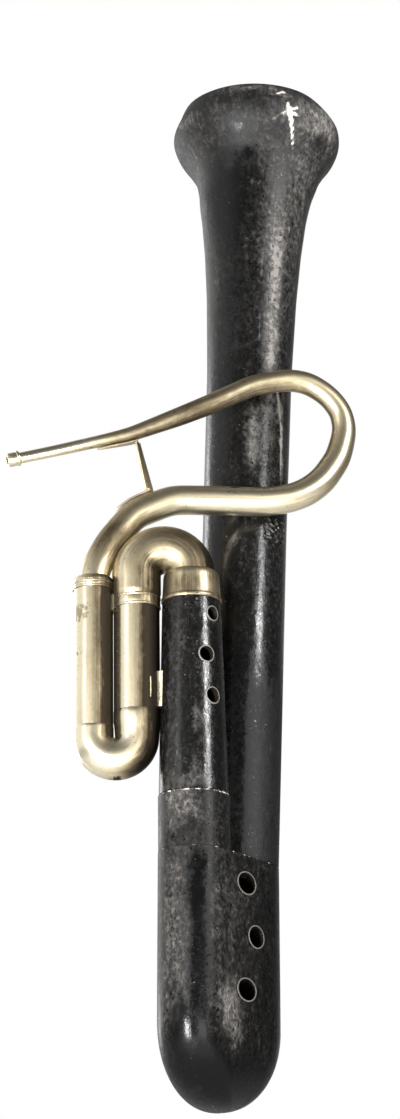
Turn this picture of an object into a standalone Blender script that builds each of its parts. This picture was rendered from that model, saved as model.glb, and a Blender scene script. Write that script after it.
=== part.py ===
"""Upright serpent: a leather-covered wooden horn folded like a bassoon, with a brass crook.

The wind enters at the mouthpipe, runs round the crook and down the up tube, turns through
the lower bow into the down tube, over the upper bow into the wing joint, turns back in the
butt and leaves through the bell joint. Metres, +Z up. The bores of the wing joint and the
bell joint lie in one upright plane, which is turned by BUTT_TURN from the plane of the
brasswork, and both joints lean away from each other in that plane.
"""

import math

import bmesh
import bpy
from mathutils import Matrix, Vector

# Fits
GAP = 0.0003
LEATHER = 0.0012
BRASS_WALL = 0.0008

# Butt: two lobes round the two bores, closed below by a rounded end
BUTT_TURN = math.radians(60.0)
JOINT_SPACING = 0.0634
WING_LOBE_R = 0.0282
BELL_LOBE_R = 0.0350
SHOULDER_Z = 0.1930
BUTT_END_HEIGHT = 0.0650
BUTT_END_FULLNESS = 2.3
WING_SOCKET_R = 0.0279
WING_SOCKET_RISE = 0.0450

# Bore from the wing joint through the butt to the bell joint
WING_BORE_TOP_R = 0.0176
WING_BORE_R = 0.0186
BELL_BORE_R = 0.0225
TURN_CENTRE_Z = 0.0640

# Tenons, which slide in their sockets on a lapping of waxed thread
TENON_CLEARANCE = 0.0003
LAPPING = 0.0010
WING_TENON_R = 0.0205
WING_TENON_LENGTH = 0.0400
BELL_TENON_R = 0.0280
BELL_TENON_LENGTH = 0.0420

# Wing joint, measured along its axis from the shoulder of the butt
WING_LEAN = math.atan(-0.024)
WING_LOWER_R = 0.0273
WING_UPPER_R = 0.0235
FERRULE_Z = 0.2015
FERRULE_HEIGHT = 0.0253
FERRULE_R = 0.0231

# Bell joint, measured along its axis from the shoulder of the butt
BELL_LEAN = math.atan(0.068)
BELL_STEM_R = 0.0348
BELL_THROAT_R = 0.0420
BELL_WIDEST_R = 0.0740
BELL_RIM_R = 0.0672
BELL_MOUTH_R = 0.0560
BELL_HEIGHT = 0.6890
BELL_LIP_HEIGHT = 0.0200
BELL_FLARE_LENGTH = 0.1140
BELL_WIDEST_Z = BELL_HEIGHT - BELL_LIP_HEIGHT
BELL_THROAT_Z = BELL_WIDEST_Z - BELL_FLARE_LENGTH
BELL_WALL = 0.0085
BELL_RIM_WOOD = 0.0050

# Brass tubes beside the wing joint
WING_TO_DOWN_TUBE = 0.0440
DOWN_TO_UP_TUBE = 0.0343
DOWN_TUBE_R = 0.0170
UP_TUBE_R = 0.0149
UPPER_BOW_END_R = 0.0190
UPPER_BOW_RISE = 0.0235
UPPER_BOW_SEAT = 0.0135
UPPER_BOW_Z = FERRULE_Z + UPPER_BOW_RISE
WINDWAY_LENGTH = 0.1325
LOWER_BOW_Z = UPPER_BOW_Z - WINDWAY_LENGTH
UP_TUBE_SLEEVE_RISE = 0.0081
DOWN_TUBE_SLEEVE_RISE = 0.0204
UP_TUBE_JOINT_Z = LOWER_BOW_Z + UP_TUBE_SLEEVE_RISE
DOWN_TUBE_JOINT_Z = LOWER_BOW_Z + DOWN_TUBE_SLEEVE_RISE
SLEEVE_DEPTH = 0.0072
SLEEVE_WALL = 0.0006
RING_HEIGHT = 0.0096
RING_DROP = 0.0280
RING_Z = UPPER_BOW_Z - RING_DROP
SOCKET_HEIGHT = 0.0107
SOCKET_DROP = 0.0119
SOCKET_Z = UPPER_BOW_Z - SOCKET_DROP

# Crook, in its own upright plane through the axis of its socket
CROOK_TURN = math.radians(12.9)
CROOK_TENON_R = 0.0120
CROOK_TENON_LENGTH = 0.0260
CROOK_REACH = 0.2128
CROOK_RISE = 0.1850
MOUTHPIPE_R = 0.0045
MOUTHPIPE_REACH = 0.0705
MOUTHPIPE_TIP_Z = 0.0953
MOUTH_SLEEVE_R = 0.0056
MOUTH_SLEEVE_LENGTH = 0.0095

# Stays
STRAP_THICKNESS = 0.0016
STRAP_WIDTH = 0.0108
STRAP_CORNER_R = 0.0030
UPPER_FOOT_X = 0.0350
UPPER_FOOT_LENGTH = 0.0350
LOWER_FOOT_X = 0.0500
LOWER_FOOT_LENGTH = 0.0270
SPACER_Z = RING_Z + 0.0045
SPACER_HEIGHT = 0.0126
SPACER_DEPTH = 0.0100
WING_STAY_Z = LOWER_BOW_Z + 0.0225
WING_STAY_HEIGHT = 0.0287
WING_STAY_DEPTH = 0.0140
WING_STAY_FOOT_HEIGHT = 0.0170
WING_STAY_FOOT_WIDTH = 0.0120
WING_STAY_FOOT_THICKNESS = 0.0007

# Finger holes: height, angle round the joint and inner radius
WING_HOLES = (
    (FERRULE_Z - 0.0134, -45.4, 0.0053),
    (FERRULE_Z - 0.0477, -62.1, 0.0059),
    (FERRULE_Z - 0.0810, -50.9, 0.0059),
)
BELL_HOLES = (
    (SHOULDER_Z - 0.0218, -139.5, 0.0080),
    (SHOULDER_Z - 0.0617, -126.8, 0.0080),
    (SHOULDER_Z - 0.1042, -140.1, 0.0080),
)
BUSH_WALL = 0.0012
BUSH_PROUD = 0.0004
WING_BUSH_DEPTH = 0.0055
BELL_BUSH_DEPTH = 0.0120

# Pad on the bell joint where the crook lies against it
PAD_Z = SOCKET_Z + SOCKET_HEIGHT + 0.32 * CROOK_RISE
PAD_HEIGHT = 0.0240
PAD_MIDDLE = math.radians(-44.0)
PAD_HALF_ANGLE = math.radians(22.0)
PAD_THICKNESS = 0.0014

# Nails
NAIL_ANGLE = -80.0
NAIL_HEAD_R = 0.0012
NAIL_SHANK_R = 0.0006
NAIL_LENGTH = 0.0040
NAILED = {
    "ferrule_nail": ("wing_ferrule", "wing_joint"),
    "leather_nail": ("wing_joint_leather", "wing_joint"),
}

LARGE_SIDES = 32
SMALL_SIDES = 20


def clear_scene():
    for obj in list(bpy.data.objects):
        bpy.data.objects.remove(obj)


def new_collection(name):
    collection = bpy.data.collections.new(name)
    bpy.context.scene.collection.children.link(collection)
    return collection


clear_scene()
SERPENT = new_collection("upright_serpent")
CUTTERS = new_collection("cutters")
CUTTERS.hide_render = True


def material(name, colour, roughness, metallic=0.0):
    made = bpy.data.materials.new(name)
    made.use_nodes = True
    shader = made.node_tree.nodes["Principled BSDF"]
    shader.inputs["Base Color"].default_value = (*colour, 1.0)
    shader.inputs["Roughness"].default_value = roughness
    shader.inputs["Metallic"].default_value = metallic
    return made


WOOD = material("walnut", (0.13, 0.075, 0.04), 0.6)
BLACK_LEATHER = material("black leather", (0.018, 0.015, 0.014), 0.38)
BRASS = material("old brass", (0.62, 0.50, 0.27), 0.28, 1.0)
HORN = material("horn", (0.10, 0.085, 0.07), 0.45)
THREAD = material("waxed thread", (0.42, 0.28, 0.14), 0.8)
IRON = material("iron nail", (0.09, 0.085, 0.08), 0.5, 1.0)


def empty(name, place, parent=None):
    """An axis or frame that pieces hang on. place is its matrix in its parent."""
    made = bpy.data.objects.new(name, None)
    made.empty_display_size = 0.03
    SERPENT.objects.link(made)
    made.parent = parent
    made.matrix_local = place
    return made


def leaning(angle):
    """Rotation that tips +Z by angle towards the bell's side of the butt."""
    across = Vector((-math.sin(BUTT_TURN), math.cos(BUTT_TURN), 0.0))
    return Matrix.Rotation(angle, 4, across)


def frames():
    """The empties: the whole, the butt's plane, and one for each axis that a piece moves on.

    The origin is the lowest point of the butt, halfway along it.
    """
    root = empty("serpent_root", Matrix())
    along = Matrix.Rotation(BUTT_TURN, 4, "Z")
    middle = (JOINT_SPACING + BELL_LOBE_R - WING_LOBE_R) / 2.0
    butt = empty("butt_plane", along @ Matrix.Translation((-middle, 0.0, 0.0)), root)
    wing_foot = along @ Vector((-middle, 0.0, SHOULDER_Z))
    wing = empty("wing_axis", Matrix.Translation(wing_foot) @ leaning(WING_LEAN), root)
    bell_foot = along @ Vector((JOINT_SPACING - middle, 0.0, SHOULDER_Z))
    bell = empty("bell_axis", Matrix.Translation(bell_foot) @ leaning(BELL_LEAN), root)
    socket = Vector((-WING_TO_DOWN_TUBE - DOWN_TO_UP_TUBE, 0.0, SOCKET_Z + SOCKET_HEIGHT))
    turn = Matrix.Rotation(CROOK_TURN, 4, "Z")
    crook = empty("crook_axis", Matrix.Translation(socket) @ turn, wing)
    return root, butt, wing, bell, crook


ROOT, BUTT, WING, BELL, CROOK = frames()


def add(name, mesh, parent, finish, place=None):
    """A named piece of the serpent."""
    made = bpy.data.objects.new(name, mesh)
    SERPENT.objects.link(made)
    made.parent = parent
    made.matrix_local = place or Matrix()
    mesh.materials.clear()
    mesh.materials.append(finish)
    return made


def as_cutter(obj):
    SERPENT.objects.unlink(obj)
    CUTTERS.objects.link(obj)
    obj.hide_render = True
    obj.display_type = "WIRE"
    return obj


def boolean(obj, other, operation):
    step = obj.modifiers.new(operation.lower(), "BOOLEAN")
    step.operation = operation
    step.solver = "EXACT"
    step.object = other


def turned(name, profile, parent, finish, sides=LARGE_SIDES, place=None):
    """A ring or rod turned about Z. profile holds (radius, height), down the outside, up the inside."""
    mesh = bpy.data.meshes.new(name)
    points = [(radius, 0.0, height) for radius, height in profile]
    count = len(points)
    on_axis = profile[0][0] == 0.0 and profile[-1][0] == 0.0
    edges = [(i, i + 1) for i in range(count - 1)]
    if not on_axis:
        edges.append((count - 1, 0))
    mesh.from_pydata(points, edges, [])
    made = add(name, mesh, parent, finish, place)
    screw = made.modifiers.new("turn", "SCREW")
    screw.axis = "Z"
    screw.steps = sides
    screw.render_steps = sides
    screw.use_merge_vertices = True
    screw.merge_threshold = 0.00001
    return made


def ring_profile(outer, inner, low, high):
    return [(outer, high), (outer, low), (inner, low), (inner, high)]


def rod_profile(radius, low, high):
    return [(0.0, high), (radius, high), (radius, low), (0.0, low)]


def evaluated_mesh(obj):
    bpy.context.view_layer.update()
    graph = bpy.context.evaluated_depsgraph_get()
    return bpy.data.meshes.new_from_object(obj.evaluated_get(graph))


def weld(mesh):
    work = bmesh.new()
    work.from_mesh(mesh)
    bmesh.ops.remove_doubles(work, verts=work.verts, dist=0.000005)
    bmesh.ops.recalc_face_normals(work, faces=work.faces)
    work.to_mesh(mesh)
    work.free()


def swept(name, path, parent, finish, sides, wall=None, place=None):
    """A round tube or rod along path, which holds (x, y, z, radius).

    With a wall it is a tube open at both ends, without one a solid rod.
    """
    curve = bpy.data.curves.new(name + "_path", "CURVE")
    curve.dimensions = "3D"
    curve.bevel_depth = 1.0
    curve.bevel_resolution = sides // 2 - 2
    curve.use_fill_caps = wall is None
    spline = curve.splines.new("POLY")
    spline.points.add(len(path) - 1)
    for point, (x, y, z, radius) in zip(spline.points, path):
        point.co = (x, y, z, 1.0)
        point.radius = radius
    guide = bpy.data.objects.new(name + "_path", curve)
    SERPENT.objects.link(guide)
    mesh = evaluated_mesh(guide)
    bpy.data.objects.remove(guide)
    weld(mesh)
    made = add(name, mesh, parent, finish, place)
    if wall:
        shell = made.modifiers.new("wall", "SOLIDIFY")
        shell.thickness = wall
        shell.offset = -1.0
    return made


def arc(centre_x, centre_z, radius, start, end, steps):
    """Points of an arc in the XZ plane, as (x, z); angles in degrees from +X."""
    found = []
    for i in range(steps + 1):
        angle = math.radians(start + (end - start) * i / steps)
        found.append((centre_x + radius * math.cos(angle), centre_z + radius * math.sin(angle)))
    return found


def lobed_ring(wing_u, wing_r, bell_u, bell_r, steps=9):
    """The outline stretched round two circles on one line, anticlockwise seen from above."""
    tangent = math.acos((wing_r - bell_r) / (bell_u - wing_u))
    found = []
    for centre, radius, start, end in (
        (bell_u, bell_r, -tangent, tangent),
        (wing_u, wing_r, tangent, 2.0 * math.pi - tangent),
    ):
        for i in range(steps + 1):
            angle = start + (end - start) * i / steps
            found.append((centre + radius * math.cos(angle), radius * math.sin(angle)))
    return found


def butt_form(name, inset, top, closed, finish=WOOD):
    """The outside of the butt drawn in by inset, lofted upwards from its rounded end."""
    wing_r = WING_LOBE_R - inset
    bell_r = BELL_LOBE_R - inset
    middle = (JOINT_SPACING + BELL_LOBE_R - WING_LOBE_R) / 2.0
    half = (JOINT_SPACING + BELL_LOBE_R + WING_LOBE_R) / 2.0 - inset
    end_height = BUTT_END_HEIGHT - inset
    rings = []
    for degrees in (3, 9, 18, 28, 38, 49, 60, 72, 90):
        angle = math.radians(degrees)
        length = math.sin(angle)
        width = (1.0 - math.cos(angle) ** BUTT_END_FULLNESS) ** (1.0 / BUTT_END_FULLNESS)
        wing_u = middle - half * length + wing_r * width
        bell_u = middle + half * length - bell_r * width
        height = BUTT_END_HEIGHT - end_height * math.cos(angle)
        rings.append((height, lobed_ring(wing_u, wing_r * width, bell_u, bell_r * width)))
    rings.append((top, rings[-1][1]))
    work = bmesh.new()
    loops = [[work.verts.new((u, v, height)) for u, v in ring] for height, ring in rings]
    count = len(loops[0])
    for low, high in zip(loops, loops[1:]):
        for i in range(count):
            j = (i + 1) % count
            work.faces.new((low[i], low[j], high[j], high[i]))
    work.faces.new(list(reversed(loops[0])))
    if closed:
        work.faces.new(loops[-1])
    bmesh.ops.recalc_face_normals(work, faces=work.faces)
    mesh = bpy.data.meshes.new(name)
    work.to_mesh(mesh)
    work.free()
    return add(name, mesh, BUTT, finish)


def box(name, low, high, parent, place=None):
    """A box cutter between two corners."""
    bpy.ops.mesh.primitive_cube_add(size=1.0)
    made = bpy.context.object
    made.name = name
    size = Vector(high) - Vector(low)
    centre = (Vector(high) + Vector(low)) / 2.0
    made.data.transform(Matrix.Translation(centre) @ Matrix.Diagonal((*size, 1.0)))
    for collection in list(made.users_collection):
        collection.objects.unlink(made)
    CUTTERS.objects.link(made)
    made.hide_render = True
    made.display_type = "WIRE"
    made.parent = parent
    made.matrix_local = place or Matrix()
    return made


def aimed(height, degrees, radius=0.0):
    """A place at a height on Z and a radius out from it, whose own +Z points outwards."""
    turn = Matrix.Rotation(math.radians(degrees), 4, "Z")
    out = Matrix.Rotation(math.radians(90.0), 4, "Y")
    return Matrix.Translation((0.0, 0.0, height)) @ turn @ Matrix.Translation((radius, 0.0, 0.0)) @ out


def bell_hole_place(height, degrees):
    """Where a lower finger hole starts: on the centre line of the bell side of the butt's bore."""
    return Matrix.Translation((JOINT_SPACING, 0.0, 0.0)) @ aimed(height, degrees)


# The bore through the butt, which also cuts the wood of both halves.


def butt_bore():
    """Down under the wing joint, round the turn and up under the bell joint, widening all the way."""
    half = JOINT_SPACING / 2.0
    socket_floor = SHOULDER_Z + WING_SOCKET_RISE - WING_TENON_LENGTH
    bell_floor = SHOULDER_Z - BELL_TENON_LENGTH
    drift = BELL_TENON_LENGTH * math.tan(BELL_LEAN)
    line = [(0.0, socket_floor + 0.002)]
    line += arc(half, TURN_CENTRE_Z, half, 180.0, 360.0, 10)
    straight = TURN_CENTRE_Z + 0.65 * (bell_floor - TURN_CENTRE_Z)
    line += [(JOINT_SPACING, straight), (JOINT_SPACING - drift, bell_floor + 0.004)]
    lengths = [0.0]
    for before, after in zip(line, line[1:]):
        lengths.append(lengths[-1] + math.dist(before, after))
    path = []
    for (u, z), along in zip(line, lengths):
        radius = WING_BORE_R + (BELL_BORE_R - WING_BORE_R) * along / lengths[-1]
        path.append((u, 0.0, z, radius))
    return as_cutter(swept("butt_bore", path, BUTT, WOOD, 20))


def socket_cutters():
    """The two tenon sockets, each along the axis of its own joint."""
    wing_low = WING_SOCKET_RISE - WING_TENON_LENGTH
    wing_radius = WING_TENON_R + LAPPING + TENON_CLEARANCE
    wing = turned("wing_socket", rod_profile(wing_radius, wing_low, WING_SOCKET_RISE + 0.01), WING, WOOD)
    bell_radius = BELL_TENON_R + LAPPING + TENON_CLEARANCE
    bell = turned("bell_socket", rod_profile(bell_radius, -BELL_TENON_LENGTH, 0.01), BELL, WOOD)
    return as_cutter(wing), as_cutter(bell)


def bell_hole_cutters():
    """The lower finger holes, drilled from the flat side of the butt to the middle of the bore."""
    made = []
    for number, (height, degrees, radius) in enumerate(BELL_HOLES, 4):
        reach = JOINT_SPACING + WING_LOBE_R
        profile = rod_profile(radius + BUSH_WALL + GAP, 0.0, reach)
        place = bell_hole_place(height, degrees)
        made.append(as_cutter(turned(f"finger_hole_{number}", profile, BUTT, WOOD, SMALL_SIDES, place)))
    return made


def below_shoulder():
    """The space under the level top of the butt, which trims whatever stands on it."""
    reach = 2.0 * JOINT_SPACING
    return box("below_shoulder", (-reach, -reach, 0.0), (reach, reach, SHOULDER_Z + GAP), ROOT)


BORE = butt_bore()
SOCKETS = socket_cutters()
LOWER_HOLES = bell_hole_cutters()
BELOW_SHOULDER = below_shoulder()


# Butt


def butt_wood():
    """Two carved halves, glued in the plane of the bores; the wing side rises into a socket."""
    inset = LEATHER + GAP
    blank = butt_form("butt_blank", inset, SHOULDER_Z, closed=True)
    low = SHOULDER_Z - 0.02
    rise = rod_profile(WING_SOCKET_R - inset, low - SHOULDER_Z, WING_SOCKET_RISE)
    collar = as_cutter(turned("wing_socket_blank", rise, WING, WOOD, LARGE_SIDES))
    boolean(blank, collar, "UNION")
    for cutter in (BORE, *SOCKETS):
        boolean(blank, cutter, "DIFFERENCE")
    whole = evaluated_mesh(blank)
    bpy.data.objects.remove(blank)
    reach = 2.0 * JOINT_SPACING
    top = SHOULDER_Z + WING_SOCKET_RISE + 0.02
    front_space = box("front_space", (-reach, -reach, -0.01), (reach, GAP / 2.0, top), BUTT)
    rear_space = box("rear_space", (-reach, -GAP / 2.0, -0.01), (reach, reach, top), BUTT)
    front = add("butt_front_half", whole, BUTT, WOOD)
    rear = add("butt_rear_half", whole.copy(), BUTT, WOOD)
    boolean(front, rear_space, "DIFFERENCE")
    boolean(rear, front_space, "DIFFERENCE")
    for hole in LOWER_HOLES:
        boolean(front, hole, "DIFFERENCE")


def butt_leather():
    """The cover of the butt, and the sleeve of leather round the raised wing socket."""
    cover = butt_form("butt_leather", 0.0, SHOULDER_Z, closed=False, finish=BLACK_LEATHER)
    shell = cover.modifiers.new("leather", "SOLIDIFY")
    shell.thickness = LEATHER
    shell.offset = -1.0
    shell.use_even_offset = True
    for hole in LOWER_HOLES:
        boolean(cover, hole, "DIFFERENCE")
    sleeve = ring_profile(WING_SOCKET_R, WING_SOCKET_R - LEATHER, -0.002, WING_SOCKET_RISE)
    boolean(turned("wing_socket_leather", sleeve, WING, BLACK_LEATHER), BELOW_SHOULDER, "DIFFERENCE")


def bell_side_bushes():
    """Lower bushes, cut off flush with the slanting side of the butt, a little proud of it."""
    skin = as_cutter(butt_form("bush_limit", -BUSH_PROUD, SHOULDER_Z + 0.01, closed=True))
    tangent = math.acos((WING_LOBE_R - BELL_LOBE_R) / JOINT_SPACING)
    for number, (height, degrees, radius) in enumerate(BELL_HOLES, 4):
        slant = math.cos(math.radians(degrees) + tangent)
        surface = BELL_LOBE_R / slant
        reach = surface + 2.0 * (radius + BUSH_WALL)
        profile = ring_profile(radius + BUSH_WALL, radius, surface - BELL_BUSH_DEPTH, reach)
        place = bell_hole_place(height, degrees)
        bush = turned(f"finger_bush_{number}", profile, BUTT, HORN, SMALL_SIDES, place)
        boolean(bush, skin, "INTERSECT")


butt_wood()
butt_leather()
bell_side_bushes()


# Wing joint


def wing_radius(height):
    """Outer radius of the wing joint's leather at a height above the shoulder of the butt."""
    share = (height - WING_SOCKET_RISE) / (FERRULE_Z - WING_SOCKET_RISE)
    return WING_LOWER_R + (WING_UPPER_R - WING_LOWER_R) * share


def wing_hole_cutters():
    made = []
    for number, (height, degrees, radius) in enumerate(WING_HOLES, 1):
        profile = rod_profile(radius + BUSH_WALL + GAP, 0.0, 2.0 * WING_LOWER_R)
        place = aimed(height, degrees)
        made.append(as_cutter(turned(f"finger_hole_{number}", profile, WING, WOOD, SMALL_SIDES, place)))
    return made


def wing_joint():
    """The wooden wing joint with its tenon below, its leather, and the thread on the tenon."""
    foot = WING_SOCKET_RISE + GAP
    under = LEATHER + GAP
    top = UPPER_BOW_Z - UPPER_BOW_SEAT
    low = foot - WING_TENON_LENGTH
    ferrule_inner = FERRULE_R - BRASS_WALL - GAP
    wood = [
        (ferrule_inner, top),
        (ferrule_inner, FERRULE_Z + GAP),
        (wing_radius(FERRULE_Z) - under, FERRULE_Z - GAP),
        (WING_LOWER_R - under, foot),
        (WING_TENON_R - GAP, foot),
        (WING_TENON_R - GAP, low),
        (WING_BORE_R, low),
        (WING_BORE_TOP_R, top),
    ]
    body = turned("wing_joint", wood, WING, WOOD)
    cover_top = FERRULE_Z - GAP
    cover = [
        (wing_radius(cover_top), cover_top),
        (WING_LOWER_R, foot),
        (WING_LOWER_R - LEATHER, foot),
        (wing_radius(cover_top) - LEATHER, cover_top),
    ]
    leather = turned("wing_joint_leather", cover, WING, BLACK_LEATHER)
    for hole in wing_hole_cutters():
        boolean(body, hole, "DIFFERENCE")
        boolean(leather, hole, "DIFFERENCE")
    thread = ring_profile(WING_TENON_R + LAPPING, WING_TENON_R, low + 0.004, foot - 0.004)
    turned("wing_tenon_lapping", thread, WING, THREAD)


def wing_bushes():
    """Upper bushes, rounded to the wing joint and a little proud of its leather."""
    high = FERRULE_Z
    limit = [
        (0.0, high),
        (wing_radius(high) + BUSH_PROUD, high),
        (WING_LOWER_R + BUSH_PROUD, WING_SOCKET_RISE),
        (0.0, WING_SOCKET_RISE),
    ]
    skin = as_cutter(turned("wing_bush_limit", limit, WING, WOOD))
    for number, (height, degrees, radius) in enumerate(WING_HOLES, 1):
        outer = wing_radius(height)
        profile = ring_profile(radius + BUSH_WALL, radius, outer - WING_BUSH_DEPTH, outer + 0.004)
        bush = turned(f"finger_bush_{number}", profile, WING, HORN, SMALL_SIDES, aimed(height, degrees))
        boolean(bush, skin, "INTERSECT")


wing_joint()
wing_bushes()


# Bell joint


def bell_outline():
    """(radius, height) up the outside: an even stem, a flare, a lip, and the flat rim inwards."""
    swell = BELL_THROAT_R - BELL_STEM_R
    stem = [(BELL_STEM_R, -0.003), (BELL_STEM_R + 0.02 * swell, 0.52 * BELL_THROAT_Z)]
    stem += [(BELL_STEM_R + 0.20 * swell, 0.79 * BELL_THROAT_Z)]
    stem += [(BELL_STEM_R + 0.57 * swell, 0.92 * BELL_THROAT_Z), (BELL_THROAT_R, BELL_THROAT_Z)]
    flare = []
    rise = BELL_WIDEST_Z - BELL_THROAT_Z
    spread = BELL_WIDEST_R - BELL_THROAT_R
    for share, growth in ((0.30, 0.115), (0.53, 0.25), (0.70, 0.43), (0.83, 0.69), (0.91, 0.885)):
        flare.append((BELL_THROAT_R + spread * growth, BELL_THROAT_Z + rise * share))
    lip = []
    for degrees in (0, 24, 48, 70, 90):
        angle = math.radians(degrees)
        drawn_in = (BELL_WIDEST_R - BELL_RIM_R) * (1.0 - math.cos(angle))
        lip.append((BELL_WIDEST_R - drawn_in, BELL_WIDEST_Z + BELL_LIP_HEIGHT * math.sin(angle)))
    lip.append((BELL_MOUTH_R + BELL_RIM_WOOD + GAP, BELL_HEIGHT))
    return stem + flare + lip


def inward(outline, distance):
    """The outline moved inwards, each point along its own normal."""
    found = []
    for i, (radius, height) in enumerate(outline):
        before = outline[max(i - 1, 0)]
        after = outline[min(i + 1, len(outline) - 1)]
        along = Vector((after[0] - before[0], after[1] - before[1])).normalized()
        found.append((radius - along.y * distance, height + along.x * distance))
    return found


def bell_bore():
    """The bore of the bell joint, from its tenon to its mouth."""
    low = GAP - BELL_TENON_LENGTH - 0.001
    bore = [(0.0, BELL_HEIGHT + 0.01), (BELL_MOUTH_R, BELL_HEIGHT + 0.01)]
    bore += [(BELL_MOUTH_R, BELL_WIDEST_Z)]
    bore += list(reversed(inward(bell_outline(), BELL_WALL)[3:8]))
    bore += [(BELL_STEM_R - BELL_WALL, 0.52 * BELL_THROAT_Z), (BELL_BORE_R, low), (0.0, low)]
    return as_cutter(turned("bell_bore", bore, BELL, WOOD))


def bell_joint():
    """The wooden bell joint, cut level where it stands on the butt, its leather and its tenon."""
    outside = bell_outline()
    inner_skin = inward(outside, LEATHER)
    cover = turned("bell_joint_leather", list(reversed(outside)) + inner_skin, BELL, BLACK_LEATHER)
    boolean(cover, BELOW_SHOULDER, "DIFFERENCE")
    under = inward(outside, LEATHER + GAP)
    edge = BELL_MOUTH_R + BELL_RIM_WOOD
    rim = [(0.0, BELL_HEIGHT), (edge, BELL_HEIGHT), (edge, under[-1][1])]
    body = turned("bell_joint", rim + list(reversed(under[:-1])) + [(0.0, -0.003)], BELL, WOOD)
    boolean(body, BELOW_SHOULDER, "DIFFERENCE")
    low = GAP - BELL_TENON_LENGTH
    tenon = rod_profile(BELL_TENON_R - GAP, low, 0.02)
    boolean(body, as_cutter(turned("bell_tenon", tenon, BELL, WOOD)), "UNION")
    boolean(body, bell_bore(), "DIFFERENCE")
    thread = ring_profile(BELL_TENON_R + LAPPING, BELL_TENON_R, low + 0.004, GAP - 0.006)
    turned("bell_tenon_lapping", thread, BELL, THREAD)


def crook_pad():
    """A leather pad on the bell joint, behind the crook where the two come closest."""
    inner = BELL_STEM_R + 0.0001 + GAP
    profile = ring_profile(inner + PAD_THICKNESS, inner, PAD_Z - PAD_HEIGHT / 2.0, PAD_Z + PAD_HEIGHT / 2.0)
    pad = turned("crook_pad", profile, BELL, BLACK_LEATHER, 2 * LARGE_SIDES)
    front = Matrix.Rotation(PAD_MIDDLE, 4, "Z")
    half = inner * math.sin(PAD_HALF_ANGLE)
    limit = box("pad_limit", (0.0, -half, PAD_Z - PAD_HEIGHT), (0.06, half, PAD_Z + PAD_HEIGHT), BELL, front)
    boolean(pad, limit, "INTERSECT")


bell_joint()
crook_pad()


# Brasswork beside the wing joint


def wing_ferrule():
    """The brass cap on the wing joint, which the upper bow is soldered into."""
    low = FERRULE_Z
    top = FERRULE_Z + FERRULE_HEIGHT
    hole = UPPER_BOW_END_R + GAP
    inner = FERRULE_R - BRASS_WALL
    profile = [
        (hole, top),
        (hole + 0.0018, top - 0.0002),
        (hole + 0.0030, top - 0.0014),
        (FERRULE_R - 0.0006, top - 0.0050),
        (FERRULE_R, low + 0.0042),
        (FERRULE_R + 0.0006, low + 0.0030),
        (FERRULE_R + 0.0007, low + 0.0012),
        (FERRULE_R + 0.0001, low),
        (inner, low),
        (inner, top - 0.0100),
        (hole, top - 0.0016),
    ]
    turned("wing_ferrule", profile, WING, BRASS)


def upper_bow():
    """The hairpin over the top, from the down tube into the wing ferrule."""
    radius = WING_TO_DOWN_TUBE / 2.0
    ring_middle = RING_Z + RING_HEIGHT / 2.0 + GAP / 2.0
    line = [(-WING_TO_DOWN_TUBE, ring_middle)]
    line += arc(-radius, UPPER_BOW_Z, radius, 180.0, 0.0, 10)
    line += [(0.0, UPPER_BOW_Z - UPPER_BOW_SEAT + GAP)]
    path = []
    for i, (x, z) in enumerate(line):
        share = min(max((i - 1) / 10.0, 0.0), 1.0)
        path.append((x, 0.0, z, DOWN_TUBE_R + (UPPER_BOW_END_R - DOWN_TUBE_R) * share))
    swept("upper_bow", path, WING, BRASS, 20, BRASS_WALL)


def bow_ring():
    """The ring that joins the upper bow to the down tube."""
    inner = DOWN_TUBE_R + GAP
    low = RING_Z
    high = RING_Z + RING_HEIGHT
    profile = [
        (inner + 0.0006, high),
        (inner + 0.0010, high - 0.0010),
        (inner + 0.0006, high - 0.0022),
        (inner + 0.0006, low + 0.0022),
        (inner + 0.0010, low + 0.0010),
        (inner + 0.0006, low),
        (inner, low),
        (inner, high),
    ]
    place = Matrix.Translation((-WING_TO_DOWN_TUBE, 0.0, 0.0))
    turned("upper_bow_ring", profile, WING, BRASS, SMALL_SIDES, place)


def straight_tubes():
    """The down tube and the up tube, both seated in the sleeves of the lower bow."""
    down = ring_profile(
        DOWN_TUBE_R,
        DOWN_TUBE_R - BRASS_WALL,
        DOWN_TUBE_JOINT_Z - SLEEVE_DEPTH,
        RING_Z + RING_HEIGHT / 2.0 - GAP / 2.0,
    )
    place = Matrix.Translation((-WING_TO_DOWN_TUBE, 0.0, 0.0))
    turned("down_tube", down, WING, BRASS, SMALL_SIDES, place)
    up = ring_profile(
        UP_TUBE_R,
        UP_TUBE_R - BRASS_WALL,
        UP_TUBE_JOINT_Z - SLEEVE_DEPTH,
        SOCKET_Z + SOCKET_HEIGHT - 0.0050,
    )
    place = Matrix.Translation((-WING_TO_DOWN_TUBE - DOWN_TO_UP_TUBE, 0.0, 0.0))
    turned("up_tube", up, WING, BRASS, SMALL_SIDES, place)


def lower_bow():
    """The hairpin at the bottom, wide enough all along to sleeve over the two tubes."""
    radius = DOWN_TO_UP_TUBE / 2.0
    narrow = UP_TUBE_R + GAP + SLEEVE_WALL
    wide = DOWN_TUBE_R + GAP + SLEEVE_WALL
    left = -WING_TO_DOWN_TUBE - DOWN_TO_UP_TUBE
    path = [(left, 0.0, UP_TUBE_JOINT_Z, narrow)]
    turn = arc(left + radius, LOWER_BOW_Z, radius, 180.0, 360.0, 10)
    for i, (x, z) in enumerate(turn):
        path.append((x, 0.0, z, narrow + (wide - narrow) * i / 10.0))
    path.append((-WING_TO_DOWN_TUBE, 0.0, DOWN_TUBE_JOINT_Z, wide))
    swept("lower_bow", path, WING, BRASS, 20, SLEEVE_WALL)


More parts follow.
